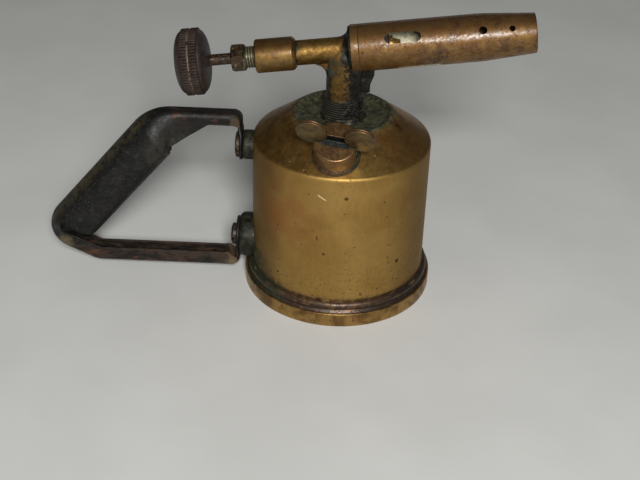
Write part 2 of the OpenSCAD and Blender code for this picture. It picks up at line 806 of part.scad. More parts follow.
// T casting: threaded foot, stem, side arm, flange, spigot and rib
module burner_body() color(dark_brass) {
    difference() {
        union() {
            difference() {
                union() {
                    rod(foot_core_r, foot_z, boss_top_z);
                    threaded_rod(foot_diameter / 2, foot_pitch, boss_top_z, stem_base_z);
                    rod(stem_r, stem_base_z, stem_round_z);
                    taper(stem_r, stem_cap_r, stem_round_z, stem_cap_z);
                    barrel_rib();
                }
                along_burner() rod(barrel_r, collar_start, muzzle_reach);
            }
            along_burner() {
                rod(socket_r, box_inner - socket_depth, 0);
                rod(arm_r, box_inner, collar_start - flange_thickness);
                arm_fillet();
                rod(flange_r, collar_start - flange_thickness, collar_start);
                rod(spigot_r, collar_start, spigot_end);
            }
        }
        rod(feed_r, foot_z - cut, feed_top_z);
        rod(passage_r, foot_z, burner_height);
        along_burner() {
            rod(bore_r, box_inner - socket_depth - cut, jet_bore_start);
            rod(chamber_r, chamber_start, needle_start);
            rod(jet_shank_r, jet_bore_start, spigot_end + cut);
            pin_hole();
        }
    }
}

// Hollow sweep from the arm up to the flange
module arm_fillet() {
    fillet = flange_r - arm_r;
    base = collar_start - flange_thickness;
    rotate_extrude($fn = smooth) difference() {
        translate([0, base - flange_fillet]) square([flange_r, flange_fillet]);
        translate([arm_r + fillet, base - flange_fillet]) scale(fillet) circle(r = 1, $fn = smooth);
        translate([flange_r - fillet / 2, base - 2 * flange_fillet]) square([fillet, flange_fillet]);
    }
}

// Upright plate from the stem to the underside of the barrel, flared where it meets it
module barrel_rib() {
    flare = 2;
    flare_z = burner_height - barrel_r - 1.5 * flare;
    translate([0, rib_thickness / 2, 0]) rotate([90, 0, 0]) linear_extrude(height = rib_thickness)
        polygon([[0, stem_base_z + rib_rise], [rib_reach, stem_base_z + rib_rise], [rib_reach, flare_z],
            [rib_reach + flare, flare_z + 2 * flare], [rib_reach + flare, burner_height],
            [0, burner_height]]);
}

module pin_hole() {
    translate([0, 0, pin_reach]) rotate([0, 0, -90 - pin_turn]) rotate([0, 90, 0])
        rod(pin_r, barrel_r - barrel_wall - pin_depth, barrel_r + cut);
}

module feed_tube() color(brass) tube(feed_r, feed_r - feed_wall, feed_end_z, feed_top_z);

module wick() color(soft) rod(feed_r - feed_wall - seat_gap, wick_end_z, feed_top_z - cut);

module stuffing_box() color(brass) along_burner() {
    chamfer = box_r - arm_r - shoulder_step;
    difference() {
        union() {
            rod(box_r, box_outer, box_inner - chamfer);
            taper(box_r, box_r - chamfer, box_inner - chamfer, box_inner);
        }
        rod(packing_r, box_outer - cut, packing_end);
        rod(bore_r, box_outer, box_inner);
        rod(socket_r, box_inner - socket_depth, box_inner + cut);
    }
}

module gland_nut() color(dark_brass) along_burner() {
    difference() {
        union() {
            translate([0, 0, gland_outer]) cylinder(d = gland_flats / cos(30), h = gland_length, $fn = 6);
            threaded_rod(gland_diameter / 2, gland_pitch, gland_face, box_outer);
            rod(packing_r, box_outer, follower_face);
        }
        rod(bore_r, gland_outer - cut, follower_face + cut);
    }
}

module gland_follower() color(brass) along_burner() tube(packing_r, bore_r, follower_face, packing_face);

module gland_packing() color(soft) along_burner() tube(packing_r, bore_r, packing_face, packing_end);

module spindle() color(dark_brass) along_burner() {
    rod(shank_r, knob_end, knob_hub + running_gap);
    rod(spindle_r, knob_hub + running_gap, needle_start);
    taper(spindle_r, needle_tip_r, needle_start, needle_end);
}

// Disc with pointed knurls round its edge
module knurled_disc(from, width) {
    translate([0, 0, from]) linear_extrude(height = width)
        polygon([for (i = [0 : 2 * knurls - 1])
            let (r = knob_r - (i % 2) * knurl_depth, a = 180 * i / knurls) [r * cos(a), r * sin(a)]]);
}

module knob() color(moulding) along_burner() {
    difference() {
        union() {
            knurled_disc(knob_outer, row_width);
            rod(knob_r - 2 * knurl_depth, knob_outer, knob_inner);
            knurled_disc(knob_inner - row_width, row_width);
            translate([0, 0, knob_inner]) dome_cap(knob_face_r, knob_inner_dome);
            translate([0, 0, knob_outer]) mirror([0, 0, 1]) dome_cap(knob_face_r, knob_outer_dome);
        }
        rod(shank_r + running_gap, knob_end - cut, knob_hub + cut);
        rod(nut_recess_r, knob_end - cut, nut_seat);
    }
}

module knob_nut() color(brass) along_burner() {
    difference() {
        translate([0, 0, knob_end]) cylinder(d = nut_flats / cos(30), h = nut_height, $fn = 6);
        rod(shank_r + running_gap, knob_end - cut, nut_seat + cut);
    }
}

module jet_nipple() color(brass) along_burner() {
    head_end = spigot_end + jet_head_length;
    difference() {
        union() {
            rod(jet_shank_r, jet_bore_start, spigot_end);
            rod(jet_head_r, spigot_end, head_end);
            taper(jet_head_r - jet_tip_r / 2, jet_tip_r, head_end, head_end + jet_tip_length);
        }
        rod(jet_bore_r, jet_bore_start - cut, head_end);
        rod(jet_hole_r, jet_bore_start, head_end + jet_tip_length + cut);
    }
}

module barrel_collar() color(brass) along_burner() tube(barrel_r, spigot_r, collar_start, barrel_start);

module burner_barrel() color(brass) along_burner() {
    muzzle_r = muzzle_diameter / 2;
    difference() {
        union() {
            rod(barrel_r, barrel_start, taper_start);
            taper(barrel_r, muzzle_r, taper_start, muzzle_reach);
        }
        rod(spigot_r, barrel_start - cut, taper_start);
        taper(spigot_r, muzzle_r - barrel_wall, taper_start, muzzle_reach);
        rod(muzzle_r - barrel_wall, taper_start, muzzle_reach + cut);
        rotate([0, 0, -90 - slot_turn]) {
            air_slot();
            side_hole(hole_reach, hole_diameter);
            side_hole(hole_reach + hole_spacing, far_hole_diameter);
        }
        pin_hole();
    }
}

// Round-ended slot right through both walls
module air_slot() {
    for (end = [slot_start + slot_height / 2, slot_start + slot_length - slot_height / 2])
        side_hole(end, slot_height);
    translate([-barrel_diameter, -slot_height / 2, slot_start + slot_height / 2])
        cube([2 * barrel_diameter, slot_height, slot_length - slot_height]);
}

// Round hole right through both walls
module side_hole(reach, diameter) {
    translate([0, 0, reach]) rotate([0, 90, 0]) rod(diameter / 2, -barrel_diameter, barrel_diameter);
}

module barrel_pin() color(brass) along_burner() {
    intersection() {
        pin_hole();
        rod(barrel_r, barrel_start, taper_start);
    }
}

tank_shell();
tank_bottom();
stem_boss();
filler_bush();
filler_washer();
filler_cap();
filler_wing();
upper_boss();
lower_boss();
handle_sheet();
upper_screw();
lower_screw();
burner_body();
feed_tube();
wick();
stuffing_box();
gland_nut();
gland_follower();
gland_packing();
spindle();
knob();
knob_nut();
jet_nipple();
barrel_collar();
burner_barrel();
barrel_pin();
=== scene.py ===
import json
import math

import bmesh
import bpy
import numpy as np
from mathutils import Matrix


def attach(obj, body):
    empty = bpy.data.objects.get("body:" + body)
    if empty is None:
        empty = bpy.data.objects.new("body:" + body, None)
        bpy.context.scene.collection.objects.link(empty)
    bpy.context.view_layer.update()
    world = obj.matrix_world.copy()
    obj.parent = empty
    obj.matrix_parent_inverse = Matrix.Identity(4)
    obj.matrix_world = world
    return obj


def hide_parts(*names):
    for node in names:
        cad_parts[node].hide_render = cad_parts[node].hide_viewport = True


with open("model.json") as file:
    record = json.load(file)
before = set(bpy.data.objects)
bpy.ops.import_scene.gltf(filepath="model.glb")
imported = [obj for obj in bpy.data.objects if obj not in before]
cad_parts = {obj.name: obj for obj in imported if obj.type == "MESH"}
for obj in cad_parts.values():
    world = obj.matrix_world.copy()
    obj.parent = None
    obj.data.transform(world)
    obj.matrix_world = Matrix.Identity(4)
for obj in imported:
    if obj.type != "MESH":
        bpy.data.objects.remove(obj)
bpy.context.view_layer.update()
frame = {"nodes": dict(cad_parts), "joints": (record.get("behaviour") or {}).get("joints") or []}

# Lengths below are in millimetres and angles in degrees
MM = 0.001

# Tank
tank_r = 40.0
shoulder_z = 74.0
shoulder_round = 1.1
top_slope = 35.5
dish_r = 21.5
dish_depth = 2.4
dish_side = 3.5
dish_lap = 0.3
dish_round = 1.6
sheet = 1.0
wall_step = 2.5
bead_reach = 2.3
bead_z = 9.4
bead_sink = 0.3
bead_tuck = 1.2
bead_ease = 0.35
bead_lift = 0.25
skirt_r = 43.7
skirt_z = 6.7
skirt_gap = 0.02
dish_rim_z = shoulder_z + (tank_r - dish_r) * math.tan(math.radians(top_slope))
dish_floor_z = dish_rim_z - dish_depth

# Dents in the tank's wall: angle round the tank, height, spread in degrees, spread in height, depth
DENTS = ((250, 40, 16, 14, 0.35), (300, 60, 12, 9, 0.22), (215, 28, 14, 10, 0.3), (285, 22, 10, 7, 0.2),
         (30, 45, 18, 14, 0.4), (100, 55, 15, 12, 0.35), (150, 30, 16, 10, 0.3))

# Dents fade in between these depths inside the wall and heights above the bead
dent_inner = 10.0
dent_outer = 2.0
dent_low = 2.6
dent_high = 8.6

# Dark spots on the tank: centre and radius
SPOTS = (((3, -40, 65), 0.55), ((21, -35, 52), 0.5), ((27, -30, 28), 0.8), ((-6, -39, 36), 0.4))

# Filler, heights along its own axis
bush_r = 10.4
bush_top = 1.6
bush_foot = 0.1
bush_bevel = 1.3
bush_sink = 2.2
bush_depth = 6.0
bush_neck_r = 7.1
plug_r = 5.5
plug_gap = 0.08
plug_end = -5.4
washer_r = 9.1
washer_gap = 0.3
washer_top = 2.35
cap_r = 9.5
cap_base = 2.4
cap_top = 12.4
cap_bevel = 0.5
cap_bevel_rise = 0.6
cap_crown = 0.1
cap_grain = 0.17
slot_floor = 7.8
slot_half = 2.3
wing_turn = -10.0
ear_r = 6.8
ear_reach = 10.4
ear_rise = 3.2
ear_half = 1.05
ear_lean = 9.0
ear_bevel = 0.1
ear_groove = 0.3
ear_groove_half = 0.25
web_half = 1.3
web_height = 1.6
web_gap = 0.05
root_length = 3.3
root_inset = 0.1
root_rise = 0.6
root_spare = 0.15

# Burner, stations along its own axis from the tank's axis
burner_z = 116.4
burner_lean = 7.6
boss_r = 9.8
boss_sink = 3.0
boss_fillet = 0.5
boss_fillet_rise = 0.8
boss_top = dish_floor_z + 2.0
foot_core_r = 8.0
foot_r = 8.9
foot_pitch = 1.1
foot_sink = 2.0
foot_wall = 2.0
foot_lap = 0.2
stem_hole_r = foot_core_r + 1.0
stem_base = boss_top + 7.6
stem_r = 7.9
stem_cap_r = 4.4
stem_heel = stem_base - 0.6
stem_flare = 0.5
stem_flare_top = stem_base + 0.8
stem_shoulder = burner_z - 1.6
stem_cap = burner_z + 3.2
stem_top = burner_z + 4.4
crook_r = 4.6
crook_root = 3.0
arm_r = 5.4
arm_end = -21.4
socket_end = -27.4
socket_r = 4.4
flange_inset = 0.5
flange_thick = 0.9
flange_sweep = 4.6
casting_grain = 0.28
collar_start = 2.4
collar_end = 5.9
barrel_r = 10.2
barrel_bore = 9.1
spigot_end = 18.9
taper_start = 58.0
muzzle = 81.0
muzzle_r = 8.5
barrel_wall = 1.1
slot_start = 17.0
slot_length = 15.5
slot_height = 5.0
slot_turn = 40.0
hole_reach = 58.4
hole_r = 1.75
far_hole_reach = 70.6
far_hole_r = 1.3
pin_turn = 14.0
pin_reach = 16.6
pin_r = 2.1
pin_root = 2.5
pin_stand = 0.05
pin_dome = 0.35
rib_half = 2.2
rib_reach = 11.4
rib_rise = 2.6
rib_top = burner_z - 4.0
rib_start = 0.3
flare_inset = 0.1

# Swelling on the rib's outer edge: distance out from the edge and depth under the burner's axis
FLARE = ((-0.5, 9.0), (-1.0, 17.0), (0.2, 15.0), (1.6, 11.0), (1.6, 6.0), (-1.0, 6.0))

# Valve, along the burner's axis from the tank's axis
bore_r = 2.6
body_bore = 3.2
box_r = 7.3
box_inner = arm_end
box_outer = -39.0
box_socket = 6.0
box_bevel = 0.4
box_bevel_rise = 0.5
box_neck = 1.4
box_lip = 0.6
packing_r = 4.5
packing_end = -28.8
gland_r = 4.8
gland_root = 0.32
gland_pitch = 1.1
gland_face = -43.4
gland_end = -49.4
gland_flats = 11.0
gland_chamfer = 0.75
gland_inset = 0.2
gland_lap = 0.2
gland_entry = 0.3
gland_gap = 0.05
follower_face = -34.4
spindle_r = 2.45
shank_r = 2.15
shank_gap = 0.05
shank_step = 0.05
needle_start = 11.0
needle_end = 14.8
needle_tip_r = 0.5
knob_hub = -59.2
knob_inner = -62.6
knob_outer = -70.4
knob_end = -73.6
knob_r = 14.5
knob_edge = 0.9
knob_edge_rise = 0.35
knurls = 64
knurl_depth = 0.45
knurl_start = 0.6
knurl_full = 0.2
groove_half = 0.45
groove_depth = 1.0
groove_slant = 0.1
nut_recess_r = 5.0
nut_seat = -71.2
nut_flats = 7.0
nut_chamfer = 0.5
nut_inset = 0.1
jet_start = 14.0
jet_bore = 1.6
jet_r = 3.1
jet_flange_r = 4.0
jet_cone_r = 3.0
jet_tip_r = 2.0
jet_hole_r = 0.4
jet_flange = spigot_end + 1.6
jet_tip = spigot_end + 4.8

# Handle
gauge = 1.2
edge_ease = 0.28
strip_step = 0.5
strip_columns = 48
strip_layers = 4
arm_width = 8.5
upper_flange = 5.5
lower_flange = 7.5
upper_arm_z = 84.5
lower_arm_z = 3.9
grip_corner = 87.1
grip_slope = 49.8
grip_r = 10.8
grip_seam = 2.2
upper_bend = 22.5
lower_bend = 13.0
knee_slope = 26.0
knee_length = 13.0
knee_bend = 10.0
tab_corner = 4.0
upper_screw_z = 68.0
lower_screw_z = 20.0
upper_boss_reach = 4.6
lower_boss_reach = 6.4
upper_boss_r = 6.75
lower_boss_r = 10.5
upper_boss_round = 1.6
lower_boss_round = 3.2
boss_root = 2.2
upper_head_r = 5.9
lower_head_r = 5.0
upper_head = 2.2
lower_head = 2.8
head_side = 0.75
head_crown = 0.7
head_slot = 0.125
screw_r = 2.5
screw_gap = 0.3
screw_start = 1.0
upper_tab_half = 7.0
lower_tab_half = 8.6
tab_tip_square = 1.2
fold_length = 2.0
roll_lead = 5.0
flap_length = 17.0
wing_cut = 4.0
fold_round = 2.6
corner_wrap = 0.6
unfold_length = 6.0
flange_lap = 1.0
flange_seat = 0.9
flange_edge_gap = 0.05
flange_face_gap = 0.04
upper_end_depth = 6.5
upper_end_run = 2.5
lower_end_depth = 4.2
lower_end_run = 3.9

# How far a cutting tool runs past what it cuts
overrun = 2.0

# Camera: focal length in pixels of a 640 by 480 picture, and where it looks, in metres
PICTURE_WIDTH = 640
PICTURE_HEIGHT = 480
FOCAL = 1200.0
LOOK_AT = (0.0, 0.0, 0.030)
LOOK_AT_PIXEL = (337.74, 218.58)
CAMERA_DISTANCE = 0.56288
CAMERA_ELEVATION = 31.9
CAMERA_ROLL = -2.34


def unit(vector):
    """The vector divided by its length."""
    vector = np.asarray(vector, float)
    return vector / np.linalg.norm(vector)


def place(origin, axis, side):
    """An origin in millimetres and three square directions: the axis, the side made square to it,
    and their cross product."""
    axis = unit(axis)
    side = unit(np.asarray(side, float) - axis * np.dot(side, axis))
    return np.asarray(origin, float), axis, side, np.cross(axis, side)


def joint(name):
    """The place in millimetres and the axis of the frame's joint of that name."""
    found = next(j for j in frame["joints"] if j["name"] == name)
    return np.array(found["pos_m"]) / MM, np.array(found["axis"])


def wing_place():
    """The filler's place turned so that its side runs along the wing plate."""
    origin, axis, side, third = FILLER
    turn = math.radians(wing_turn)
    return place(origin, axis, side * math.cos(turn) + third * math.sin(turn))


knob_place, knob_axis = joint("knob_turn")
UPRIGHT = place((0, 0, 0), (0, 0, 1), (1, 0, 0))
BURNER = place(knob_place, -knob_axis, (0, -1, 0))
FILLER = place(*joint("filler_turn"), (1, 0, 0))
WING = wing_place()
UPPER_SCREW = place((0, 0, upper_screw_z), (-1, 0, 0), (0, 1, 0))
LOWER_SCREW = place((0, 0, lower_screw_z), (-1, 0, 0), (0, 1, 0))


def outward(turn):
    """The direction square to the burner's axis that is turned up from the front by an angle."""
    turn = math.radians(turn)
    return BURNER[2] * math.cos(turn) - BURNER[3] * math.sin(turn)


def at(where, across, along, upward):
    """Points of a place: origin + side * across + axis * along + third direction * upward."""
    origin, axis, side, third = where
    across, along, upward = np.broadcast_arrays(across, along, upward)
    return origin + across[..., None] * side + along[..., None] * axis + upward[..., None] * third


def ramp(a, b, x):
    """Straight step from 0 at a to 1 at b."""
    return np.clip((x - a) / (b - a), 0, 1)


def ease(a, b, x):
    """Smooth step from 0 at a to 1 at b."""
    t = ramp(a, b, x)
    return t * t * (3 - 2 * t)


def running(steps):
    """Running sum along the last axis, from 0."""
    total = np.cumsum(steps, -1)
    return np.concatenate([0 * total[..., :1], total], -1)


def rounded(corners, steps=6):
    """A closed outline of (radius, station, rounding) corners, each corner replaced by the parabola
    (1-k)^2 A + 2k(1-k) P + k^2 B between points A and B that lie the rounding away from P along both sides.
    A rounding takes less than half of a side."""
    most = 0.48
    points = np.array([c[:2] for c in corners], float)
    reach = np.array([c[2] for c in corners], float)
    before = np.roll(points, 1, 0) - points
    after = np.roll(points, -1, 0) - points
    long_before = np.linalg.norm(before, axis=1)
    long_after = np.linalg.norm(after, axis=1)
    reach = np.minimum(reach, most * np.minimum(long_before, long_after))[:, None]
    start = points + before / long_before[:, None] * reach
    stop = points + after / long_after[:, None] * reach
    k = np.linspace(0, 1, steps + 1)[None, :, None]
    curve = (1 - k) ** 2 * start[:, None] + 2 * k * (1 - k) * points[:, None] + k ** 2 * stop[:, None]
    return curve.reshape(-1, 2)


def filled(outline, steps):
    """The outline with each of its stretches cut into that many equal steps."""
    run = np.diff(outline, axis=0)
    steps = np.broadcast_to(steps, len(run))
    which = np.repeat(np.arange(len(run)), steps)
    share = (np.arange(len(which)) - (np.cumsum(steps) - steps)[which] + 1) / steps[which]
    return np.concatenate([outline[:1], outline[which] + run[which] * share[:, None]])


def revolved(profile, where, turns=160, swell=None):
    """A closed profile turned about a place's axis: each point (r, s) runs round as
    side * r cos(t) + third * r sin(t) + axis * s, with r changed by swell(r, s, t) where that is given."""
    t = np.linspace(0, 2 * np.pi, turns, endpoint=False)[None, :]
    r = profile[:, :1] + 0 * t
    s = profile[:, 1:] + 0 * t
    if swell is not None:
        r = swell(r, s, t)
    return at(where, r * np.cos(t), s, r * np.sin(t))


def grid_faces(rows, columns, closed):
    """Corner numbers of the four-sided faces of a grid that wraps in its columns and, where closed,
    in its rows."""
    i = np.arange(rows if closed else rows - 1)[:, None]
    j = np.arange(columns)[None, :]
    i2, j2 = (i + 1) % rows, (j + 1) % columns
    quads = [i * columns + j, i2 * columns + j, i2 * columns + j2, i * columns + j2]
    return np.stack(np.broadcast_arrays(*quads), -1).reshape(-1, 4)


def settle(mesh, sharp=40.0):
    """Merges doubles, turns the faces outward and marks the sharp edges of a mesh."""
    edit = bmesh.new()
    edit.from_mesh(mesh)
    bmesh.ops.remove_doubles(edit, verts=edit.verts, dist=2e-6)
    bmesh.ops.dissolve_degenerate(edit, edges=edit.edges, dist=1e-6)
    bmesh.ops.recalc_face_normals(edit, faces=edit.faces)
    edit.to_mesh(mesh)
    edit.free()
    mesh.shade_smooth()
    mesh.set_sharp_from_angle(angle=math.radians(sharp))
    return mesh


def mesh_of(name, grids, closed=True, sharp=40.0):
    """One mesh of several grids of points in millimetres, smooth but for its sharp edges."""
    starts = running([grid.shape[0] * grid.shape[1] for grid in grids])
    points = np.concatenate([grid.reshape(-1, 3) for grid in grids]) * MM
    faces = np.concatenate([grid_faces(*grid.shape[:2], closed) + n for grid, n in zip(grids, starts)])
    mesh = bpy.data.meshes.new(name)
    mesh.from_pydata(points.tolist(), [], faces.tolist())
    return settle(mesh, sharp)


def piece(name, mesh):
    """An object of that mesh in the scene."""
    made = bpy.data.objects.new(name, mesh)
    bpy.context.scene.collection.objects.link(made)
    return made


def turned_mesh(name, outline, where, turns=160, swell=None, sharp=40.0):
    """A mesh of an outline turned about a place's axis. One that starts on the axis also ends there."""
    return mesh_of(name, [revolved(outline, where, turns, swell)], outline[0, 0] > 0, sharp)


def turned(name, corners, where, turns=160, steps=6):
    """A piece whose rounded outline is turned about a place's axis."""
    return piece(name, turned_mesh(name, rounded(corners, steps), where, turns))


def block_mesh(name, where, low, high):
    """A mesh of a box between two corners of a place: two square rings with collapsed ends."""
    across = np.array([low[0], high[0], high[0], low[0]], float)
    upward = np.array([low[2], low[2], high[2], high[2]], float)
    grow = np.array([0, 1, 1, 0], float)[:, None]
    along = np.array([low[1], low[1], high[1], high[1]], float)[:, None]
    grid = at(where, across.mean() + grow * (across - across.mean()), along,
              upward.mean() + grow * (upward - upward.mean()))
    return mesh_of(name, [grid], False, 30.0)


def rod_mesh(name, where, radius, start, stop, turns=64):
    """A mesh of one cylinder."""
    outline = np.array([(0, start), (radius, start), (radius, stop), (0, stop)], float)
    return turned_mesh(name, outline, where, turns)


def prism(name, outline, half, middle=0.0):
    """A mesh of a flat outline (x, z), star-shaped about its first point, given a thickness along Y
    round a middle."""
    core = outline[:1] + 0 * outline[1:]
    rim = outline[1:]
    rows = [(core, middle - half), (rim, middle - half), (rim, middle + half), (core, middle + half)]
    grid = np.stack([np.stack([o[:, 0], np.full(len(o), y), o[:, 1]], 1) for o, y in rows])
    return mesh_of(name, [grid], False, 30.0)


def applied(made, sharp=40.0):
    """The object with its modifiers worked into its mesh."""
    graph = bpy.context.evaluated_depsgraph_get()
    mesh = bpy.data.meshes.new_from_object(made.evaluated_get(graph))
    old = made.data
    made.modifiers.clear()
    made.data = mesh
    bpy.data.meshes.remove(old)
    settle(mesh, sharp)
    return made


def combined(made, others, operation):
    """The object joined with, or cut by, the solids of the other meshes, one after another."""
    for mesh in others:
        tool = piece(made.name + "_tool", mesh)
        change = made.modifiers.new("shape", "BOOLEAN")
        change.object = tool
        change.operation = operation
        change.solver = "EXACT"
        applied(made)
        bpy.data.objects.remove(tool)
        bpy.data.meshes.remove(mesh)
    return made


def worn(made, grain, passes):
    """The object rebuilt on a fine even grid and smoothed, so that its edges are rounded like a casting's."""
    change = made.modifiers.new("grain", "REMESH")
    change.mode = "VOXEL"
    change.voxel_size = grain * MM
    soften = made.modifiers.new("soften", "SMOOTH")
    soften.factor = 0.5
    soften.iterations = passes
    return applied(made, 60.0)


def joined(name, parts):
    """One object of several, each still a closed skin."""
    edit = bmesh.new()
    for part in parts:
        edit.from_mesh(part.data)
    mesh = bpy.data.meshes.new(name)
    edit.to_mesh(mesh)
    edit.free()
    for part in parts:
        old = part.data
        bpy.data.objects.remove(part)
        bpy.data.meshes.remove(old)
    return piece(name, settle(mesh))


def hexed(flats, bore):
    """A swell that cuts a turned outline to a hexagon and leaves its bore: the side lies flats / 2 over
    the cosine of the angle from the nearest flat."""
    def swell(r, s, t):
        """The radius at an angle, at most out to the hexagon's side."""
        side = flats / 2 / np.cos((t + np.pi / 6) % (np.pi / 3) - np.pi / 6)
        return np.minimum(r, np.maximum(side, bore))
    return swell


def hex_corner(flats):
    """Distance from a hexagon's middle to its corners."""
    return flats / 2 / math.cos(math.pi / 6)


def helix(root, crest, pitch):
    """A screw thread's swell: the radius swings from root to crest once in a pitch along the axis and
    once round, with a flat crest and sloping flanks."""
    crest_width, flank = 1.35, 2.0

    def swell(r, s, t):
        """The radius at a station and angle; the bore keeps its own."""
        phase = (s / pitch - t / (2 * np.pi)) % 1.0
        tooth = np.clip(crest_width - np.abs(2 * phase - 1) * flank, 0, 1)
        return np.where(r > (root + crest) / 2, root + (crest - root) * tooth, r)
    return swell


def thread_grid(where, bore, root, crest, pitch, start, stop):
    """Points of a threaded sleeve: its outer radius swings between root and crest along a helix."""
    rows_in_pitch = 14
    stations = np.linspace(start, stop, int((stop - start) / pitch * rows_in_pitch))
    outer = np.stack([np.full_like(stations, crest), stations], 1)
    profile = np.concatenate([[(bore, start)], outer, [(bore, stop)]])
    return revolved(profile, where, 128, helix(root, crest, pitch))


def dented(r, s, t):
    """The wall's radius less its dents, each a bell curve over angle and height."""
    loss = 0 * r
    for angle, height, spread, tall, depth in DENTS:
        away = np.abs((np.degrees(t) - angle + 180) % 360 - 180)
        loss = loss + depth * np.exp(-(away / spread) ** 2 - ((s - height) / tall) ** 2)
    near_wall = ease(tank_r - dent_inner, tank_r - dent_outer, r)
    return r - loss * near_wall * ease(bead_z + dent_low, bead_z + dent_high, s)


def build_tank_shell():
    """Sheet outline of wall, shoulder, sloping top and dish, turned about the tank's axis, with its
    filler hole, and the bead round its foot: an arc that runs into the skirt."""
    slope = math.tan(math.radians(top_slope))
    lift = sheet / math.cos(math.radians(top_slope))
    inner_r = tank_r - sheet
    outline = rounded([
        (stem_hole_r, dish_floor_z, 0),
        (dish_r - dish_side, dish_floor_z, dish_round),
        (dish_r, dish_rim_z, 0.9),
        (tank_r, shoulder_z, shoulder_round),
        (tank_r, bead_z + bead_reach, 0.2),
        (tank_r, sheet, 0),
        (inner_r, sheet, 0),
        (inner_r, shoulder_z + sheet * slope - lift, 2.6),
        (dish_r - dish_lap, dish_rim_z - lift, 1.0),
        (dish_r - dish_side - dish_lap, dish_floor_z - sheet, dish_round),
        (stem_hole_r, dish_floor_z - sheet, 0),
    ], 10)
    steps = np.maximum(1, (np.linalg.norm(np.diff(outline, axis=0), axis=1) / wall_step).astype(int))
    shell = turned_mesh("tank_wall", filled(outline, steps), UPRIGHT, 240, dented)
    hole = rod_mesh("filler_hole", FILLER, bush_neck_r, -bush_depth, bush_depth)
    wall = combined(piece("tank_wall", shell), [hole], "DIFFERENCE")
    k = np.linspace(np.pi / 2, -np.pi / 4, 24)
    root = tank_r - bead_sink
    arc = np.stack([root + (bead_reach + bead_sink) * np.cos(k), bead_z + bead_reach * np.sin(k)], 1)
    seat = skirt_r - sheet - skirt_gap
    tuck = skirt_z - bead_tuck
    foot = [(seat - bead_ease, skirt_z + bead_lift), (seat, skirt_z - bead_ease), (seat, tuck), (root, tuck)]
    bead = piece("bead", turned_mesh("bead", np.concatenate([arc, foot]), UPRIGHT, 240))
    return joined("tank_shell_visual", [wall, bead])


def build_tank_bottom():
    """Flat disc with an upright skirt."""
    return turned("tank_bottom_visual", [
        (0, 0, 0), (skirt_r, 0, 0.6), (skirt_r, skirt_z, 0.45), (skirt_r - sheet, skirt_z, 0.45),
        (skirt_r - sheet, sheet, 0.3), (0, sheet, 0),
    ], UPRIGHT, 240)


def build_stem_boss():
    """Ring soldered into the dish's hole, with a fillet on the dish's floor."""
    under = dish_floor_z - sheet
    return turned("stem_boss_visual", [
        (foot_core_r, dish_floor_z - boss_sink, 0), (boss_r, dish_floor_z - boss_sink, 0.3),
        (boss_r, under, 0.1),
        (stem_hole_r, under, 0), (stem_hole_r, dish_floor_z, 0), (boss_r + boss_fillet, dish_floor_z, 0),
        (boss_r, dish_floor_z + boss_fillet_rise, 0.4), (boss_r, boss_top, 0.7), (foot_core_r, boss_top, 0.1),
    ], UPRIGHT)


def build_filler_bush():
    """Flange and neck round the filler's bore, sunk into the slope."""
    bore = plug_r + plug_gap
    return turned("filler_bush_visual", [
        (bore, -bush_depth, 0), (bush_neck_r, -bush_depth, 0.2), (bush_neck_r, -bush_sink, 0),
        (bush_r, -bush_sink, 0), (bush_r, bush_foot, 0.3), (bush_r - bush_bevel, bush_top, 1.2),
        (bore, bush_top, 0.2),
    ], FILLER)


def build_filler_washer():
    """Flat ring under the cap."""
    bore = plug_r + washer_gap
    return turned("filler_washer_visual", [
        (bore, bush_top, 0), (washer_r, bush_top, 0.25), (washer_r, washer_top, 0.25), (bore, washer_top, 0),
    ], FILLER, 96)


def build_filler_cap():
    """Plug and round head, slotted across its top and worn round at the edges."""
    made = turned("filler_cap_visual", [
        (0, plug_end, 0), (plug_r, plug_end, 0.5), (plug_r, cap_base, 0.1),
        (cap_r - cap_bevel, cap_base, 0.3),
        (cap_r, cap_base + cap_bevel_rise, 0.4), (cap_r, cap_top, 1.0), (0, cap_top + cap_crown, 0),
    ], FILLER, 120)
    reach = cap_r + overrun
    low, high = (-reach, slot_floor, -slot_half), (reach, cap_top + overrun, slot_half)
    slot = block_mesh("cap_slot", WING, low, high)
    return worn(combined(made, [slot], "DIFFERENCE"), cap_grain, 2)


def build_filler_wing():
    """Web in the cap's slot and two ears that lean away from the front, each a disc with a groove round
    its rim."""
    origin, axis, side, third = WING
    lean = math.radians(ear_lean)
    face = third * math.cos(lean) - axis * math.sin(lean)
    ear_z = cap_top + ear_rise
    middle = origin + axis * ear_z + third * (ear_z - slot_floor) * math.sin(lean)
    chord = math.sqrt(cap_r ** 2 - slot_half ** 2)
    floor = slot_floor + web_gap
    web_top = slot_floor + web_height
    disc = rounded([
        (0, -ear_half, 0), (ear_r - ear_bevel, -ear_half, 0.5), (ear_r, -ear_groove_half, 0.2),
        (ear_r - ear_groove, 0, 0.15), (ear_r, ear_groove_half, 0.2), (ear_r - ear_bevel, ear_half, 0.5),
        (0, ear_half, 0),
    ])
    root_half = ear_half + root_spare
    parts = []
    for way in (-1, 1):
        centre = middle + side * way * ear_reach
        parts.append(turned_mesh("ear", disc, place(centre, face, side), 96))
        near, far = sorted((way * (chord - root_length - root_inset), way * (chord - root_inset)))
        low, high = (near, floor, -root_half), (far, web_top + root_rise, root_half)
        parts.append(block_mesh("root", WING, low, high))
    web = block_mesh("web", WING, (-chord, floor, -web_half), (chord, web_top, web_half))
    return combined(piece("filler_wing_visual", web), parts, "UNION")


def build_boss(name, where, radius, reach, rounding):
    """Round boss between tank wall and handle tab."""
    root = tank_r - boss_root
    face = tank_r + reach
    return turned(name, [(0, root, 0), (radius, root, 0), (radius, face, rounding), (0, face, 0)], where, 96)


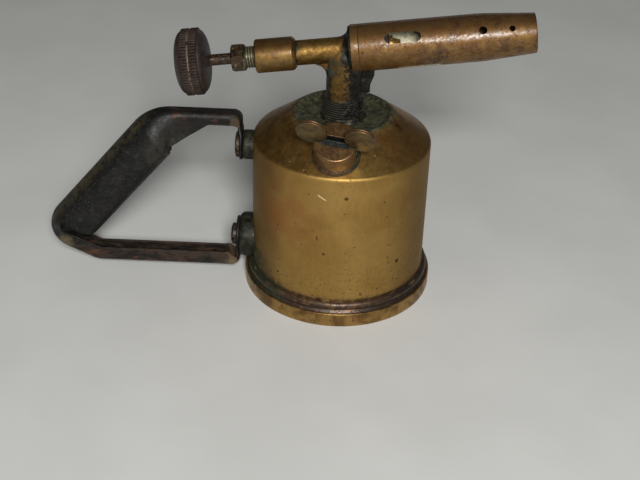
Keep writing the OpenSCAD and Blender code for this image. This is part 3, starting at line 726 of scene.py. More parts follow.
def build_screw(name, where, head_r, head, reach):
    """Screw with a slightly domed slotted head."""
    start = tank_r + screw_start
    seat = tank_r + reach + gauge
    made = turned(name, [
        (0, start, 0), (screw_r, start, 0), (screw_r, seat, 0), (head_r, seat, 0.1),
        (head_r, seat + head * head_side, 0.4), (head_r * head_crown, seat + head, 1.0), (0, seat + head, 0),
    ], where, 96)
    half = head_r * head_slot
    reach = head_r + overrun
    low, high = (-reach, seat + head / 2, -half), (reach, seat + head + overrun, half)
    slot = block_mesh("screw_slot", where, low, high)
    return combined(made, [slot], "DIFFERENCE")


def handle_path():
    """Where the handle's outer line starts, and the lengths and turns of its stretches from upper tab to
    lower."""
    slope, knee = math.radians(grip_slope), math.radians(knee_slope)
    upper_x = -tank_r - upper_boss_reach
    lower_x = -tank_r - lower_boss_reach
    upper_end = upper_screw_z - upper_tab_half
    lower_end = lower_screw_z + lower_tab_half
    trim = upper_bend * math.tan(slope / 2)
    drop = upper_bend * (1 - math.cos(slope)) + lower_bend * (math.cos(slope) + math.cos(knee))
    drop += knee_length * math.sin(knee) + knee_bend * (1 - math.cos(knee))
    grip = (upper_arm_z - lower_arm_z - drop) / math.sin(slope)
    end_x = trim - grip_corner - upper_bend * math.sin(slope) - grip * math.cos(slope)
    end_x += lower_bend * (math.sin(slope) - math.sin(knee))
    end_x += knee_length * math.cos(knee) + knee_bend * math.sin(knee)
    corner = math.pi / 2 * tab_corner
    turn_back = math.pi - slope - knee
    stretches = [
        (upper_arm_z - tab_corner - upper_end, 0), (corner, math.pi / 2),
        (grip_corner + upper_x - tab_corner - trim, 0), (upper_bend * slope, slope), (grip, 0),
        (lower_bend * turn_back, turn_back), (knee_length, 0), (knee_bend * knee, knee),
        (lower_x - tab_corner - end_x, 0), (corner, math.pi / 2), (lower_end - lower_arm_z - tab_corner, 0),
    ]
    return (upper_x, upper_end), np.array(stretches)


def handle_line(start, stretches):
    """Stations along the handle's line with their place (x, z) and heading, which turns evenly over each
    stretch."""
    ends = running(stretches[:, 0])
    pieces = [np.linspace(a, b, max(4, int((b - a) / strip_step)), endpoint=False)
              for a, b in zip(ends[:-1], ends[1:])]
    d = np.concatenate(pieces + [ends[-1:]])
    turn_rate = np.repeat(stretches[:, 1] / stretches[:, 0], [len(p) for p in pieces])
    step = np.diff(d)
    heading = math.pi / 2 + running(turn_rate * step)
    middle = heading[:-1] + turn_rate * step / 2
    x = start[0] + running(np.cos(middle) * step)
    z = start[1] + running(np.sin(middle) * step)
    return d, x, z, heading


def handle_width(d, stretches):
    """Half the flat strip's width at each station, and how far it is folded to a channel and rolled to a
    grip."""
    (end_tab, end_corner, end_arm, end_bend, end_grip, end_lower, _, _, end_low_arm,
     end_low_corner, end_all) = np.cumsum(stretches[:, 0])
    neck = arm_width / 2 - fold_round * (1 - corner_wrap * math.pi / 2)
    saving = (2 - math.pi / 2) * fold_round
    upper_half = arm_width / 2 + upper_flange - saving
    lower_half = arm_width / 2 + lower_flange - saving
    grip_half = math.pi * grip_r - grip_seam / 2
    flap = end_arm - flap_length

    def tab(half, run, from_end):
        """Half width of a tab with a round end that narrows to the neck."""
        round_end = np.sqrt(np.maximum(half ** 2 - np.minimum(half - from_end, half) ** 2, tab_tip_square))
        narrowed = half + (neck - half) * ease(half + screw_r + screw_gap, run, from_end)
        return np.where(from_end < half, round_end, narrowed)

    half = np.select([d < end_corner, d < flap, d < end_grip, d < end_low_arm], [
        tab(upper_tab_half, end_tab, d),
        neck + (upper_half - neck) * ease(end_corner, end_corner + fold_length, d),
        upper_half + (grip_half - upper_half) * ramp(flap, end_bend, d)
        + (lower_half - grip_half) * ease(end_grip - wing_cut, end_grip, d),
        lower_half + (neck - lower_half) * ease(end_low_arm - fold_length, end_low_arm, d),
    ], tab(lower_tab_half, end_all - end_low_corner, end_all - d))
    channel = ease(end_tab - unfold_length, end_tab, d)
    channel *= 1 - ease(end_low_corner, end_low_corner + unfold_length, d)
    roll = ease(end_arm - flap_length / 2, end_bend - roll_lead, d) * (1 - ease(end_grip, end_lower, d))
    return half, channel, roll


def handle_section(half, channel, roll):
    """Once round the strip's section at each station, as distances across and outward. Across the strip
    the direction turns by an angle, and the section is the running sum of its cosine and sine. The inner
    face lies one gauge inside the outer, and the edges between them are eased."""
    def direction(u):
        """Angle of the strip at a distance from its middle line: folded to a flange, or rolled round."""
        fold = -math.pi / 2 * np.clip((u - arm_width / 2 + fold_round) / (math.pi * fold_round / 2), 0, 1)
        return roll[:, None] * (-u / grip_r) + ((1 - roll) * channel)[:, None] * fold

    def ring(layers, mirror):
        """Outer face, right edge, inner face and left edge. The left side is the right times the mirror."""
        outer, *rim, inner = layers
        edge = [layer[:, -1:] for layer in rim]
        return np.concatenate([mirror * outer[:, :0:-1], outer, *edge, inner[:, ::-1], mirror * inner[:, 1:],
                               *[mirror * e for e in edge[::-1]]], 1)

    half = half[:, None]
    stride = half / strip_columns
    slant = direction(half * (np.arange(strip_columns) + 0.5) / strip_columns)
    turned_by = direction(half * np.linspace(0, 1, strip_columns + 1))
    across = running(stride * np.cos(slant))
    inward = running(stride * np.sin(slant))
    ys, ns = [], []
    for depth in np.linspace(0, gauge, strip_layers):
        trim = edge_ease * gauge if depth in (0, gauge) else 0.0
        y = across + depth * np.sin(turned_by)
        n = inward - depth * np.cos(turned_by)
        y[:, -1] -= trim * np.cos(turned_by[:, -1])
        n[:, -1] -= trim * np.sin(turned_by[:, -1])
        ys.append(y)
        ns.append(n)
    return ring(ys, -1), ring(ns, 1)


def flange_ends(tab_x, arm_z, way, flange, end_depth, end_run):
    """Two flat plates inside a tab corner: an outline of distance from the tab and depth under the arm,
    given a thickness along Y. It follows the corner's arc on one side and slopes back under the flange's
    edge."""
    full = tab_corner + fold_length
    seat = tab_corner - flange_seat * gauge
    turn = np.linspace(np.pi / 2, 0, 10)
    arc = np.stack([tab_corner - seat * np.cos(turn), tab_corner - seat * np.sin(turn)], 1)
    edge = flange - flange_edge_gap
    start = [(full, (fold_round + edge) / 2), (full + flange_lap, fold_round), (full, fold_round)]
    stop = [(tab_corner - seat, end_depth), (tab_corner - seat + end_run, edge), (full + flange_lap, edge)]
    outline = np.concatenate([start, arc, stop])
    placed = np.stack([tab_x - outline[:, 0], arm_z + way * outline[:, 1]], 1)
    middle = (arm_width - gauge) / 2
    return [prism("flange_end", placed, gauge / 2 - flange_face_gap, side * middle) for side in (-1, 1)]


def build_handle_sheet():
    """Flat strip folded across its width and carried along a bent line, with the plates that close its
    corners."""
    start, stretches = handle_path()
    d, x, z, heading = handle_line(start, stretches)
    y, n = handle_section(*handle_width(d, stretches))
    x, z, heading = x[:, None], z[:, None], heading[:, None]
    points = np.stack([x + n * np.sin(heading), y, z - n * np.cos(heading)], -1)
    middles = points[[0, -1]].mean(1, keepdims=True) + 0 * points[[0, -1]]
    points = np.concatenate([middles[:1], points, middles[1:]])
    strip = piece("strip", mesh_of("strip", [points], False, 50.0))
    upper_x = -tank_r - upper_boss_reach
    lower_x = -tank_r - lower_boss_reach
    plates = flange_ends(upper_x, upper_arm_z, -1, upper_flange, upper_end_depth, upper_end_run)
    plates += flange_ends(lower_x, lower_arm_z, 1, lower_flange, lower_end_depth, lower_end_run)
    return joined("handle_sheet_visual", [strip] + [piece("flange_end", plate) for plate in plates])


def crook_outline():
    """Hollow corner under the arm: a point inside the casting, then a quarter circle from the arm down to
    the stem."""
    lean = np.linspace(0, np.pi / 2, 12)
    rise = math.tan(math.radians(burner_lean))
    out = stem_r + crook_r * (1 - np.sin(lean))
    under = burner_z - arm_r / math.cos(math.radians(burner_lean)) - rise * (stem_r + crook_r)
    arc = np.stack([-out, under - crook_r * (1 - np.cos(lean))], 1)
    inside = (crook_root - stem_r, rib_top)
    top = [inside, inside, (-stem_r - crook_r, rib_top)]
    return np.concatenate([top, arc, [(crook_root - stem_r, under - crook_r)]])


def flare_outline():
    """Swelling on the rib's outer edge: a point inside it, then down its edge and round the swelling."""
    return np.array([rib_reach, burner_z]) + np.array(FLARE) * (1, -1)


def build_burner_body():
    """Casting: stem, side arm, swept flange, spigot and rib joined, bored for the spindle, then worn
    round; its foot carries a helical thread."""
    stem = rounded([
        (0, stem_heel, 0), (stem_r + stem_flare, stem_heel, 0.3), (stem_r, stem_flare_top, 0.6),
        (stem_r, stem_shoulder, 3.0), (stem_cap_r, stem_cap, 2.0), (0, stem_top, 0),
    ])
    sweep = np.linspace(0, np.pi / 2, 12)
    flange = barrel_r - flange_inset
    base = collar_start - flange_thick
    curve = np.stack([flange - (flange - arm_r) * np.cos(sweep) ** 0.8,
                      base - flange_sweep * (1 - np.sin(sweep))], 1)
    arm = np.concatenate([
        [(0, socket_end), (socket_r, socket_end), (socket_r, arm_end), (arm_r, arm_end)], curve,
        [(flange, base), (flange, collar_start), (barrel_bore, collar_start), (barrel_bore, spigot_end),
         (0, spigot_end)],
    ])
    body = piece("burner_body_visual", turned_mesh("stem", stem, UPRIGHT, 96))
    combined(body, [
        turned_mesh("arm", arm, BURNER, 96),
        block_mesh("rib", UPRIGHT, (rib_start, stem_base + rib_rise, -rib_half),
                   (rib_reach, rib_top, rib_half)),
        prism("crook", crook_outline(), arm_r / 2),
        prism("flare", flare_outline(), rib_half - flare_inset),
    ], "UNION")
    bore = rod_mesh("bore", BURNER, body_bore, socket_end - overrun, spigot_end + overrun)
    worn(combined(body, [bore], "DIFFERENCE"), casting_grain, 7)
    foot = thread_grid(UPRIGHT, foot_core_r - foot_wall, foot_r - foot_pitch / 2, foot_r, foot_pitch,
                       boss_top - foot_sink, stem_base - foot_lap)
    thread = piece("foot_thread", mesh_of("foot_thread", [foot]))
    return joined("burner_body_visual", [body, thread])


def build_stuffing_box():
    """Turned sleeve round the packing, bored through for the spindle."""
    stop = box_inner - box_socket
    return turned("stuffing_box_visual", [
        (bore_r, packing_end, 0), (packing_r, packing_end, 0), (packing_r, box_outer, 0.1),
        (box_r - box_bevel, box_outer, 0.2), (box_r, box_outer + box_bevel_rise, 0.4),
        (box_r, box_inner - box_neck, 0.5), (arm_r + box_lip, box_inner, 0.4),
        (socket_r, box_inner, 0), (socket_r, stop, 0), (bore_r, stop, 0),
    ], BURNER)


def build_gland_nut():
    """Hexagon with chamfered ends on a threaded sleeve, bored through for the spindle."""
    corner = hex_corner(gland_flats)
    face = gland_flats / 2 - gland_inset
    outline = rounded([
        (bore_r, gland_end, 0), (face, gland_end, 0.1), (corner, gland_end + gland_chamfer, 0.1),
        (corner, gland_face - gland_chamfer, 0.1), (face, gland_face, 0.1), (bore_r, gland_face, 0),
    ])
    nut = revolved(filled(outline, 4), BURNER, 180, hexed(gland_flats, bore_r))
    neck = thread_grid(BURNER, bore_r, gland_r - gland_root, gland_r, gland_pitch, gland_face - gland_lap,
                       box_outer + gland_entry)
    plug_side = packing_r - gland_gap
    plug = np.array([(bore_r, box_outer), (plug_side, box_outer), (plug_side, follower_face),
                     (bore_r, follower_face)])
    grids = [nut, neck, revolved(plug, BURNER, 64)]
    return piece("gland_nut_visual", mesh_of("gland_nut_visual", grids, sharp=30.0))


def build_spindle():
    """Turned rod with a thinner shank in the knob and a needle at its inner end."""
    return turned("spindle_visual", [
        (0, knob_end, 0), (shank_r, knob_end, 0.3), (shank_r, knob_hub, 0),
        (spindle_r, knob_hub + shank_step, 0.3),
        (spindle_r, needle_start, 0.2), (needle_tip_r, needle_end, 0.2), (0, needle_end, 0),
    ], BURNER, 64)


def build_knob():
    """Moulded wheel with two knurled rows, a groove between them and domed faces, bored for its spindle
    and nut. Round each row the radius swings by the knurl's depth as often as there are knurls."""
    bore = shank_r + shank_gap
    middle = (knob_inner + knob_outer) / 2
    low, high = middle - groove_half, middle + groove_half
    face = knob_r - knob_edge
    floor = knob_r - groove_depth
    k = np.linspace(0, np.pi / 2, 14)
    inner_dome = np.stack([bore + (face - bore) * np.cos(k) ** 0.9,
                           knob_inner + (knob_hub - knob_inner) * np.sin(k) ** 1.15], 1)
    outer_dome = np.stack([nut_recess_r + (face - nut_recess_r) * np.sin(k) ** 0.9,
                           knob_outer + (knob_end - knob_outer) * np.cos(k) ** 1.15], 1)
    rows = rounded([
        (face, knob_outer, 0), (knob_r, knob_outer + knob_edge_rise, 0.3), (knob_r, low, 0.25),
        (floor, low + groove_slant, 0.15), (floor, high - groove_slant, 0.15), (knob_r, high, 0.25),
        (knob_r, knob_inner - knob_edge_rise, 0.3), (face, knob_inner, 0),
    ], 4)
    recess = [(bore, nut_seat), (nut_recess_r, nut_seat)]
    profile = np.concatenate([recess, outer_dome, rows, inner_dome, [(bore, knob_hub)]])

    def knurl(r, s, t):
        """The radius less the knurl's hollows, on the rows alone."""
        depth = knurl_depth * np.abs(np.sin(t * knurls / 2)) ** 0.7
        return r - (knurl_depth - depth) * ease(knob_r - knurl_start, knob_r - knurl_full, r)

    return piece("knob_visual", turned_mesh("knob_visual", profile, BURNER, knurls * 8, knurl, 60.0))


def build_knob_nut():
    """Hexagon nut in the knob's recess."""
    bore = shank_r + shank_gap
    corner = hex_corner(nut_flats)
    outline = np.array([(bore, knob_end), (nut_flats / 2 - nut_inset, knob_end),
                        (corner, knob_end + nut_chamfer), (corner, nut_seat), (bore, nut_seat)])
    mesh = turned_mesh("knob_nut_visual", outline, BURNER, 120, hexed(nut_flats, bore), 30.0)
    return piece("knob_nut_visual", mesh)


def build_barrel():
    """Tube with a tapered muzzle, cut by the air slots and holes."""
    made = turned("burner_barrel_visual", [
        (barrel_bore, collar_end, 0), (barrel_r, collar_end, 0.35), (barrel_r, taper_start, 3.0),
        (muzzle_r, muzzle, 0.4), (muzzle_r - barrel_wall, muzzle, 0.4), (barrel_bore, taper_start, 3.0),
    ], BURNER, 128, 8)
    origin, axis = BURNER[:2]
    out = outward(slot_turn)
    reach = barrel_r * 2
    half = slot_height / 2
    near, far = slot_start + half, slot_start + slot_length - half
    drills = ((near, half), (far, half), (hole_reach, hole_r), (far_hole_reach, far_hole_r))
    holes = [rod_mesh("hole", place(origin + axis * station, out, axis), radius, -reach, reach, 40)
             for station, radius in drills]
    slot = block_mesh("slot", place(origin, out, axis), (near, -reach, -half), (far, reach, half))
    return combined(made, holes[:2] + [slot] + holes[2:], "DIFFERENCE")


def build_collar():
    """Ring between the casting's flange and the barrel."""
    return turned("barrel_collar_visual", [
        (barrel_bore, collar_start, 0), (barrel_r, collar_start, 0.4), (barrel_r, collar_end, 0.35),
        (barrel_bore, collar_end, 0),
    ], BURNER, 128)


def build_pin():
    """Short round pin through the barrel's wall, slightly domed."""
    origin, axis = BURNER[:2]
    root = barrel_bore - pin_root
    return turned("barrel_pin_visual", [
        (0, root, 0), (pin_r, root, 0), (pin_r, barrel_r + pin_stand, 0.5), (0, barrel_r + pin_dome, 0),
    ], place(origin + axis * pin_reach, outward(pin_turn), axis), 48)


def build_jet_nipple():
    """Turned nipple on the end of the casting, bored for the needle."""
    return turned("jet_nipple_visual", [
        (jet_bore, jet_start, 0), (jet_r, jet_start, 0), (jet_r, spigot_end, 0),
        (jet_flange_r, spigot_end, 0.2),
        (jet_flange_r, jet_flange, 0.3), (jet_cone_r, jet_flange, 0.1), (jet_tip_r, jet_tip, 0.3),
        (jet_hole_r, jet_tip, 0), (jet_hole_r, jet_flange, 0), (jet_bore, jet_flange, 0),
    ], BURNER, 64)


def tone(red, green, blue):
    """A colour read as display values from 0 to 255, as the linear values a shader takes."""
    c = np.array([red, green, blue]) / 255
    linear = np.where(c <= 0.04045, c / 12.92, ((c + 0.055) / 1.055) ** 2.4)
    return (*linear, 1.0)


class Finish:
    """A procedural material and short ways to add its nodes. Its coordinates are the object's own, in
    millimetres. A mask is a value from 0 to 1, and a colour is three display values or what a node
    gives."""

    def __init__(self, name):
        """A new material, with its coordinates ready in millimetres."""
        self.material = bpy.data.materials.new(name)
        self.material.use_nodes = True
        self.tree = self.material.node_tree
        self.shader = self.tree.nodes["Principled BSDF"]
        texture = self.add("ShaderNodeTexCoord")
        scaled = self.add("ShaderNodeVectorMath", operation="SCALE")
        self.tree.links.new(texture.outputs["Object"], scaled.inputs[0])
        scaled.inputs["Scale"].default_value = 1 / MM
        self.place = scaled.outputs[0]
        parts = self.add("ShaderNodeSeparateXYZ")
        self.tree.links.new(self.place, parts.inputs[0])
        self.x, self.y, self.z = parts.outputs
        self.colour = None

    def add(self, kind, **settings):
        """A new node with these settings."""
        made = self.tree.nodes.new(kind)
        for key, value in settings.items():
            setattr(made, key, value)
        return made

    def put(self, socket, value):
        """Links a socket, or sets its value."""
        if isinstance(value, bpy.types.NodeSocket):
            self.tree.links.new(value, socket)
        else:
            socket.default_value = value

    def sum(self, operation, a, b=0.0):
        """One arithmetic step on two values."""
        made = self.add("ShaderNodeMath", operation=operation)
        self.put(made.inputs[0], a)
        self.put(made.inputs[1], b)
        return made.outputs[0]

    def noise(self, size, detail=4.0, rough=0.55, twist=0.0, stretch=(1, 1, 1), shift=(0, 0, 0)):
        """Cloudy noise with features of about that size in millimetres."""
        moved = self.add("ShaderNodeMapping")
        self.put(moved.inputs["Vector"], self.place)
        moved.inputs["Location"].default_value = shift
        moved.inputs["Scale"].default_value = tuple(s / size for s in stretch)
        made = self.add("ShaderNodeTexNoise")
        self.put(made.inputs["Vector"], moved.outputs[0])
        made.inputs["Scale"].default_value = 1.0
        made.inputs["Detail"].default_value = detail
        made.inputs["Roughness"].default_value = rough
        made.inputs["Distortion"].default_value = twist
        return made.outputs[0]

    def step(self, value, low, high, start=0.0, stop=1.0):
        """Smooth step of a value between two levels."""
        made = self.add("ShaderNodeMapRange", interpolation_type="SMOOTHSTEP")
        self.put(made.inputs["Value"], value)
        made.inputs["From Min"].default_value = low
        made.inputs["From Max"].default_value = high
        made.inputs["To Min"].default_value = start
        made.inputs["To Max"].default_value = stop
        return made.outputs[0]

    def between(self, value, low, high, soft):
        """Mask of a value from low to high, fading to 0 over the soft width."""
        return self.many(self.step(value, low - soft, low), self.step(value, high + soft, high))

    def distance(self, centre):
        """Distance in millimetres from a point."""
        away = self.add("ShaderNodeVectorMath", operation="DISTANCE")
        self.put(away.inputs[0], self.place)
        away.inputs[1].default_value = tuple(centre)
        return away.outputs["Value"]

    def near(self, centre, radius, soft):
        """Mask of a ball round a point, fading to 0 over the soft width."""
        return self.step(self.distance(centre), radius + soft, radius)

    def along(self, direction, origin):
        """Distance in millimetres from an origin along a direction."""
        made = self.add("ShaderNodeVectorMath", operation="DOT_PRODUCT")
        self.put(made.inputs[0], self.place)
        made.inputs[1].default_value = tuple(direction)
        return self.sum("SUBTRACT", made.outputs["Value"], float(np.dot(direction, origin)))

    def radius(self, where):
        """Distance in millimetres from a place's axis."""
        across, upward = self.along(where[2], where[0]), self.along(where[3], where[0])
        squares = self.sum("ADD", self.sum("MULTIPLY", across, across), self.sum("MULTIPLY", upward, upward))
        return self.sum("SQRT", squares)

    def edges(self):
        """How sharply the surface turns outward, from the mesh's own pointiness."""
        return self.add("ShaderNodeNewGeometry").outputs["Pointiness"]

    def many(self, *masks):
        """The product of several masks."""
        total = masks[0]
        for mask in masks[1:]:
            total = self.sum("MULTIPLY", total, mask)
        return total

    def most(self, *masks):
        """The largest of several masks."""
        total = masks[0]
        for mask in masks[1:]:
            total = self.sum("MAXIMUM", total, mask)
        return total

    def less(self, start, mask, share=1.0):
        """A value less a share of a mask."""
        return self.sum("SUBTRACT", start, self.many(mask, share))

    def cloud(self, low, high, *size, **more):
        """Mask of cloudy patches: 0 where the noise is under the low level and 1 over the high one."""
        return self.step(self.noise(*size, **more), low, high)

    def ragged(self, value, swing, *size, **more):
        """A value that wanders by noise times the swing."""
        return self.sum("ADD", value, self.sum("MULTIPLY", self.noise(*size, **more), swing))

    def mix(self, share, a, b):
        """A blend of two colours."""
        made = self.add("ShaderNodeMix", data_type="RGBA")
        self.put(made.inputs[0], share)
        for socket, colour in ((made.inputs[6], a), (made.inputs[7], b)):
            self.put(socket, tone(*colour) if isinstance(colour, tuple) else colour)
        return made.outputs[2]

    def patches(self, dark, light, low, high, *size, **more):
        """Two colours in cloudy patches."""
        return self.mix(self.cloud(low, high, *size, **more), dark, light)

    def lay(self, colour, *masks):
        """Lays a colour over the finish as far as the masks show it."""
        self.colour = self.mix(self.many(*masks), self.colour, colour)

    def dull(self, low, high, size, detail=4, rough=0.6):
        """Roughness that wanders between two values."""
        return self.step(self.noise(size, detail, rough), 0.3, 0.7, low, high)

    def done(self, metal, rough, height=None, depth=0.1):
        """Wires colour, metal, roughness and a bump of that depth in millimetres to the shader."""
        self.put(self.shader.inputs["Base Color"], self.colour)
        self.put(self.shader.inputs["Metallic"], metal)
        self.put(self.shader.inputs["Roughness"], rough)
        if height is not None:
            bump = self.add("ShaderNodeBump")
            bump.inputs["Strength"].default_value = 1.0
            bump.inputs["Distance"].default_value = depth * MM
            self.put(bump.inputs["Height"], height)
            self.put(self.shader.inputs["Normal"], bump.outputs[0])
        return self.material


def lay_slope(f):
    """The tank's sloping top: olive and tan patches, lightened on the right and at the front as a painted
    golden sheen, a reddish stain and orange specks.
    """
    slope = f.step(f.z, shoulder_z - 1.0, shoulder_z + 1.4)
    brass = f.patches((122, 91, 48), (160, 125, 68), 0.36, 0.64, 5, 5, 0.7, 0.4, shift=(9, 4, 4))
    # Painted sheen: the right half and the front of the slope are lightened to gold.
    brass = f.mix(f.many(f.step(f.x, 2, 18), 0.4), brass, (172, 132, 82))
    brass = f.mix(f.many(f.step(f.y, -26, -36), f.step(f.x, -16, 2), 0.5), brass, (176, 146, 78))
    f.lay(brass, slope, 0.85)
    stain = f.cloud(0.5, 0.62, 6, 5, 0.65, 0.4, shift=(31, 7, 3))
    f.lay((96, 48, 32), stain, f.near((20, -8, 85), 6, 11), 0.7)
    f.lay((170, 108, 48), f.cloud(0.57, 0.64, 1.2, 3, 0.65, shift=(5, 9, 2)), slope, f.step(f.x, 4, -12), 0.7)


def lay_dish(f):
    """The green-black dish with its ragged edge and pale specks. Gives its mask."""
    edge = f.ragged(f.radius(UPRIGHT), 8.0, 3.2, 5, 0.75, shift=(6, 2, 2))
    high = f.step(f.z, dish_floor_z - 5.8, dish_floor_z - 1.8)
    dish = f.many(f.step(edge, dish_r + 7.9, dish_r + 3.9), high)
    soot = f.patches((32, 33, 24), (84, 84, 58), 0.38, 0.64, 2.6, 6, 0.75)
    f.lay(f.mix(f.many(f.cloud(0.6, 0.68, 0.8, 3, 0.6), 0.6), soot, (150, 146, 116)), dish)
    return dish


def lay_bead(f):
    """The dark bead with green spots, darker on the right. Gives its mask."""
    bead = f.step(f.ragged(f.z, 3.4, 2.5, 5, 0.7, shift=(7, 7, 1)), bead_z + 5.8, bead_z + 3.8)
    dark = f.patches((54, 38, 28), (92, 66, 43), 0.42, 0.64, 3.0, 5, 0.7, 0.4, shift=(4, 1, 0))
    dark = f.mix(f.many(f.cloud(0.58, 0.66, 1.6, 4, 0.7, shift=(4, 8, 3)), 0.7), dark, (58, 72, 58))
    f.lay(f.mix(f.many(f.step(f.x, 4, 30), 0.7), dark, (40, 34, 31)), bead)
    return bead


def lay_scratch(f, middle, across, down):
    """A short pale scratch on the tank's front, through a point, between two square directions."""
    off_line = f.sum("ABSOLUTE", f.along(across, middle))
    down_line = f.sum("ABSOLUTE", f.along(down, middle))
    f.lay((236, 216, 168), f.step(off_line, 0.34, 0.14), f.step(down_line, 2.5, 1.6), f.step(f.y, -20, -30))


def tank_finish():
    """Golden-brown brass, mottled and tarnished, with painted shade on both sides and a painted reflection of
    the handle on the left, a dark dish, a dark bead and verdigris under the lower boss."""
    f = Finish("tank_brass_patina")
    fine = f.noise(2.0, 5, 0.68)
    f.colour = f.patches((142, 111, 56), (158, 128, 70), 0.3, 0.7, 16, 5, 0.6, 0.6)
    f.lay((150, 112, 64), f.step(fine, 0.46, 0.7), 0.4)
    f.lay((176, 146, 86), f.cloud(0.5, 0.7, 1.0, 4, 0.7, 0.2, stretch=(1, 1, 0.12), shift=(3, 3, 8)), 0.2)
    # Painted shade: both sides are darkened where the light falls off round the tank; the band on the left is
    # a painted reflection of the dark handle.
    f.lay((92, 67, 37), f.most(f.step(f.x, -22, -33), f.step(f.x, 20, 36)), 0.55)
    lay_slope(f)
    f.lay((150, 92, 50), f.near((-23, -33, 52), 6, 18), f.cloud(0.35, 0.6, 12, 3, 0.6, shift=(1, 2, 2)), 0.45)
    dish = lay_dish(f)
    bead = lay_bead(f)
    damp = f.most(f.near((-37, -14, 9), 8, 12), f.near((-29, -29, 7), 4, 7), f.near((-41, 0, 18), 8, 8))
    f.lay((48, 54, 40), damp, f.cloud(0.32, 0.52, 4, 5, 0.7, 0.5), 0.9)
    spots = f.most(f.cloud(0.69, 0.74, 1.7, 2, 0.5, shift=(11, 2, 5)),
                   f.many(f.cloud(0.6, 0.67, 1.0, 3, 0.6, shift=(1, 22, 5)), f.step(f.z, 38, 13)),
                   *[f.near(centre, size, 0.6) for centre, size in SPOTS])
    f.lay((52, 36, 22), spots, 0.85)
    scuff = f.cloud(0.56, 0.7, 1.0, 4, 0.7, stretch=(0.12, 0.12, 1), shift=(2, 5, 1))
    f.lay((188, 156, 94), scuff, f.step(f.z, 46, 20), f.step(f.z, 8, 12), 0.35)
    lay_scratch(f, (-7.5, -40, 64.8), (0.53, 0, 0.85), (0.85, 0, -0.53))
    glossy = f.many(f.step(f.z, shoulder_z - 0.6, shoulder_z + 1.0), f.less(1.0, dish))
    rough = f.less(f.less(f.step(fine, 0.3, 0.7, 0.56, 0.68), glossy, 0.26), bead, 0.2)
    height = f.sum("SUBTRACT", f.sum("MULTIPLY", fine, 0.6), spots)
    return f.done(f.less(0.9, f.most(dish, bead), 0.4), rough, height, 0.09)


def skirt_finish():
    """Golden-tan brass with reddish and dark spots."""
    f = Finish("skirt_brass_patina")
    f.colour = f.patches((104, 77, 42), (156, 124, 70), 0.36, 0.62, 9, 5, 0.6, 0.5)
    f.lay((110, 58, 38), f.cloud(0.6, 0.7, 5, 3, 0.6, shift=(9, 2, 1)), 0.7)
    f.lay((44, 32, 22), f.cloud(0.66, 0.72, 1.4, 2, 0.5, shift=(2, 2, 9)), 0.8)
    damp = f.many(f.near((-38, -20, 8), 6, 9), f.step(f.z, skirt_z - 3.2, skirt_z - 0.2))
    f.lay((58, 64, 48), damp, f.cloud(0.36, 0.56, 3, 5, 0.7, 0.5), 0.8)
    return f.done(0.8, f.dull(0.34, 0.5, 2), f.noise(1.6, 4, 0.6), 0.06)


def cap_finish():
    """Copper-brown brass, speckled, tan where it is handled and dark in its slot."""
    f = Finish("cap_brass_patina")
    f.colour = f.patches((106, 78, 47), (136, 105, 66), 0.38, 0.64, 4.5, 5, 0.65, 0.5)
    f.lay((84, 60, 38), f.cloud(0.58, 0.66, 0.9, 3, 0.6), 0.6)
    up = f.along(FILLER[1], FILLER[0])
    f.lay((82, 58, 36), f.step(up, cap_top - 0.7, cap_top - 0.2), 0.6)
    slot = f.between(f.along(WING[3], WING[0]), -slot_half - 0.2, slot_half + 0.2, 0.4)
    dirt = f.patches((30, 32, 28), (62, 70, 62), 0.4, 0.62, 1.2, 4, 0.7)
    f.lay(dirt, slot, f.step(up, cap_top - 0.2, cap_top - 0.5))
    f.lay((160, 130, 84), f.cloud(0.6, 0.7, 1.4, 4, 0.7, shift=(8, 8, 1)), 0.4)
    return f.done(0.8, f.dull(0.32, 0.5, 1.5), f.noise(0.9, 4, 0.6), 0.06)


def wing_finish():
    """Olive-brown brass, browner at the rims of the ears and dark on the web in the slot."""
    f = Finish("wing_brass_patina")
    f.colour = f.patches((76, 63, 39), (106, 88, 56), 0.38, 0.62, 4, 5, 0.65, 0.4)
    origin, axis, side = WING[:3]
    middle = origin + axis * (cap_top + ear_rise)
    rims = [f.step(f.distance(middle + side * way * ear_reach), ear_r - 0.7, ear_r - 0.1) for way in (-1, 1)]
    f.lay((98, 74, 50), *rims, 0.8)
    web_top = slot_floor + web_height
    web = f.step(f.along(axis, origin), web_top + 0.9, web_top + 0.2)
    f.lay(f.patches((22, 24, 21), (44, 52, 46), 0.4, 0.62, 1.2, 4, 0.7), web)
    f.lay((52, 42, 26), f.cloud(0.6, 0.68, 1.3, 3, 0.6, shift=(1, 5, 5)), 0.7)
    return f.done(f.less(0.8, web, 0.4), f.dull(0.36, 0.54, 1.5), f.noise(0.9, 4, 0.6), 0.05)


def bush_finish():
    """Dark brown ring, its tarnish darkened further as painted shade under the cap, with verdigris on one
    side and a rim of the slope's brass.
    """
    f = Finish("bush_brass_patina")
    # Partly painted shade: the ring's tarnish is painted darker, as the shade under the cap.
    f.colour = f.patches((48, 38, 28), (86, 66, 42), 0.38, 0.62, 3.4, 5, 0.65)
    f.lay((50, 62, 50), f.cloud(0.4, 0.56, 2.4, 4, 0.65, shift=(7, 1, 2)), f.step(f.x, 2, 8), 0.75)
    edge = f.ragged(f.radius(FILLER), 2.0, 2.0, 5, 0.7, shift=(2, 3, 5))
    f.lay((92, 70, 38), f.step(edge, bush_r + 0.2, bush_r + 1.2), 0.6)
    f.lay((150, 120, 64), f.cloud(0.62, 0.7, 1.1, 3, 0.6, shift=(3, 8, 8)), 0.7)
    return f.done(0.75, f.dull(0.54, 0.7, 1.5), f.noise(0.9, 4, 0.6), 0.16)


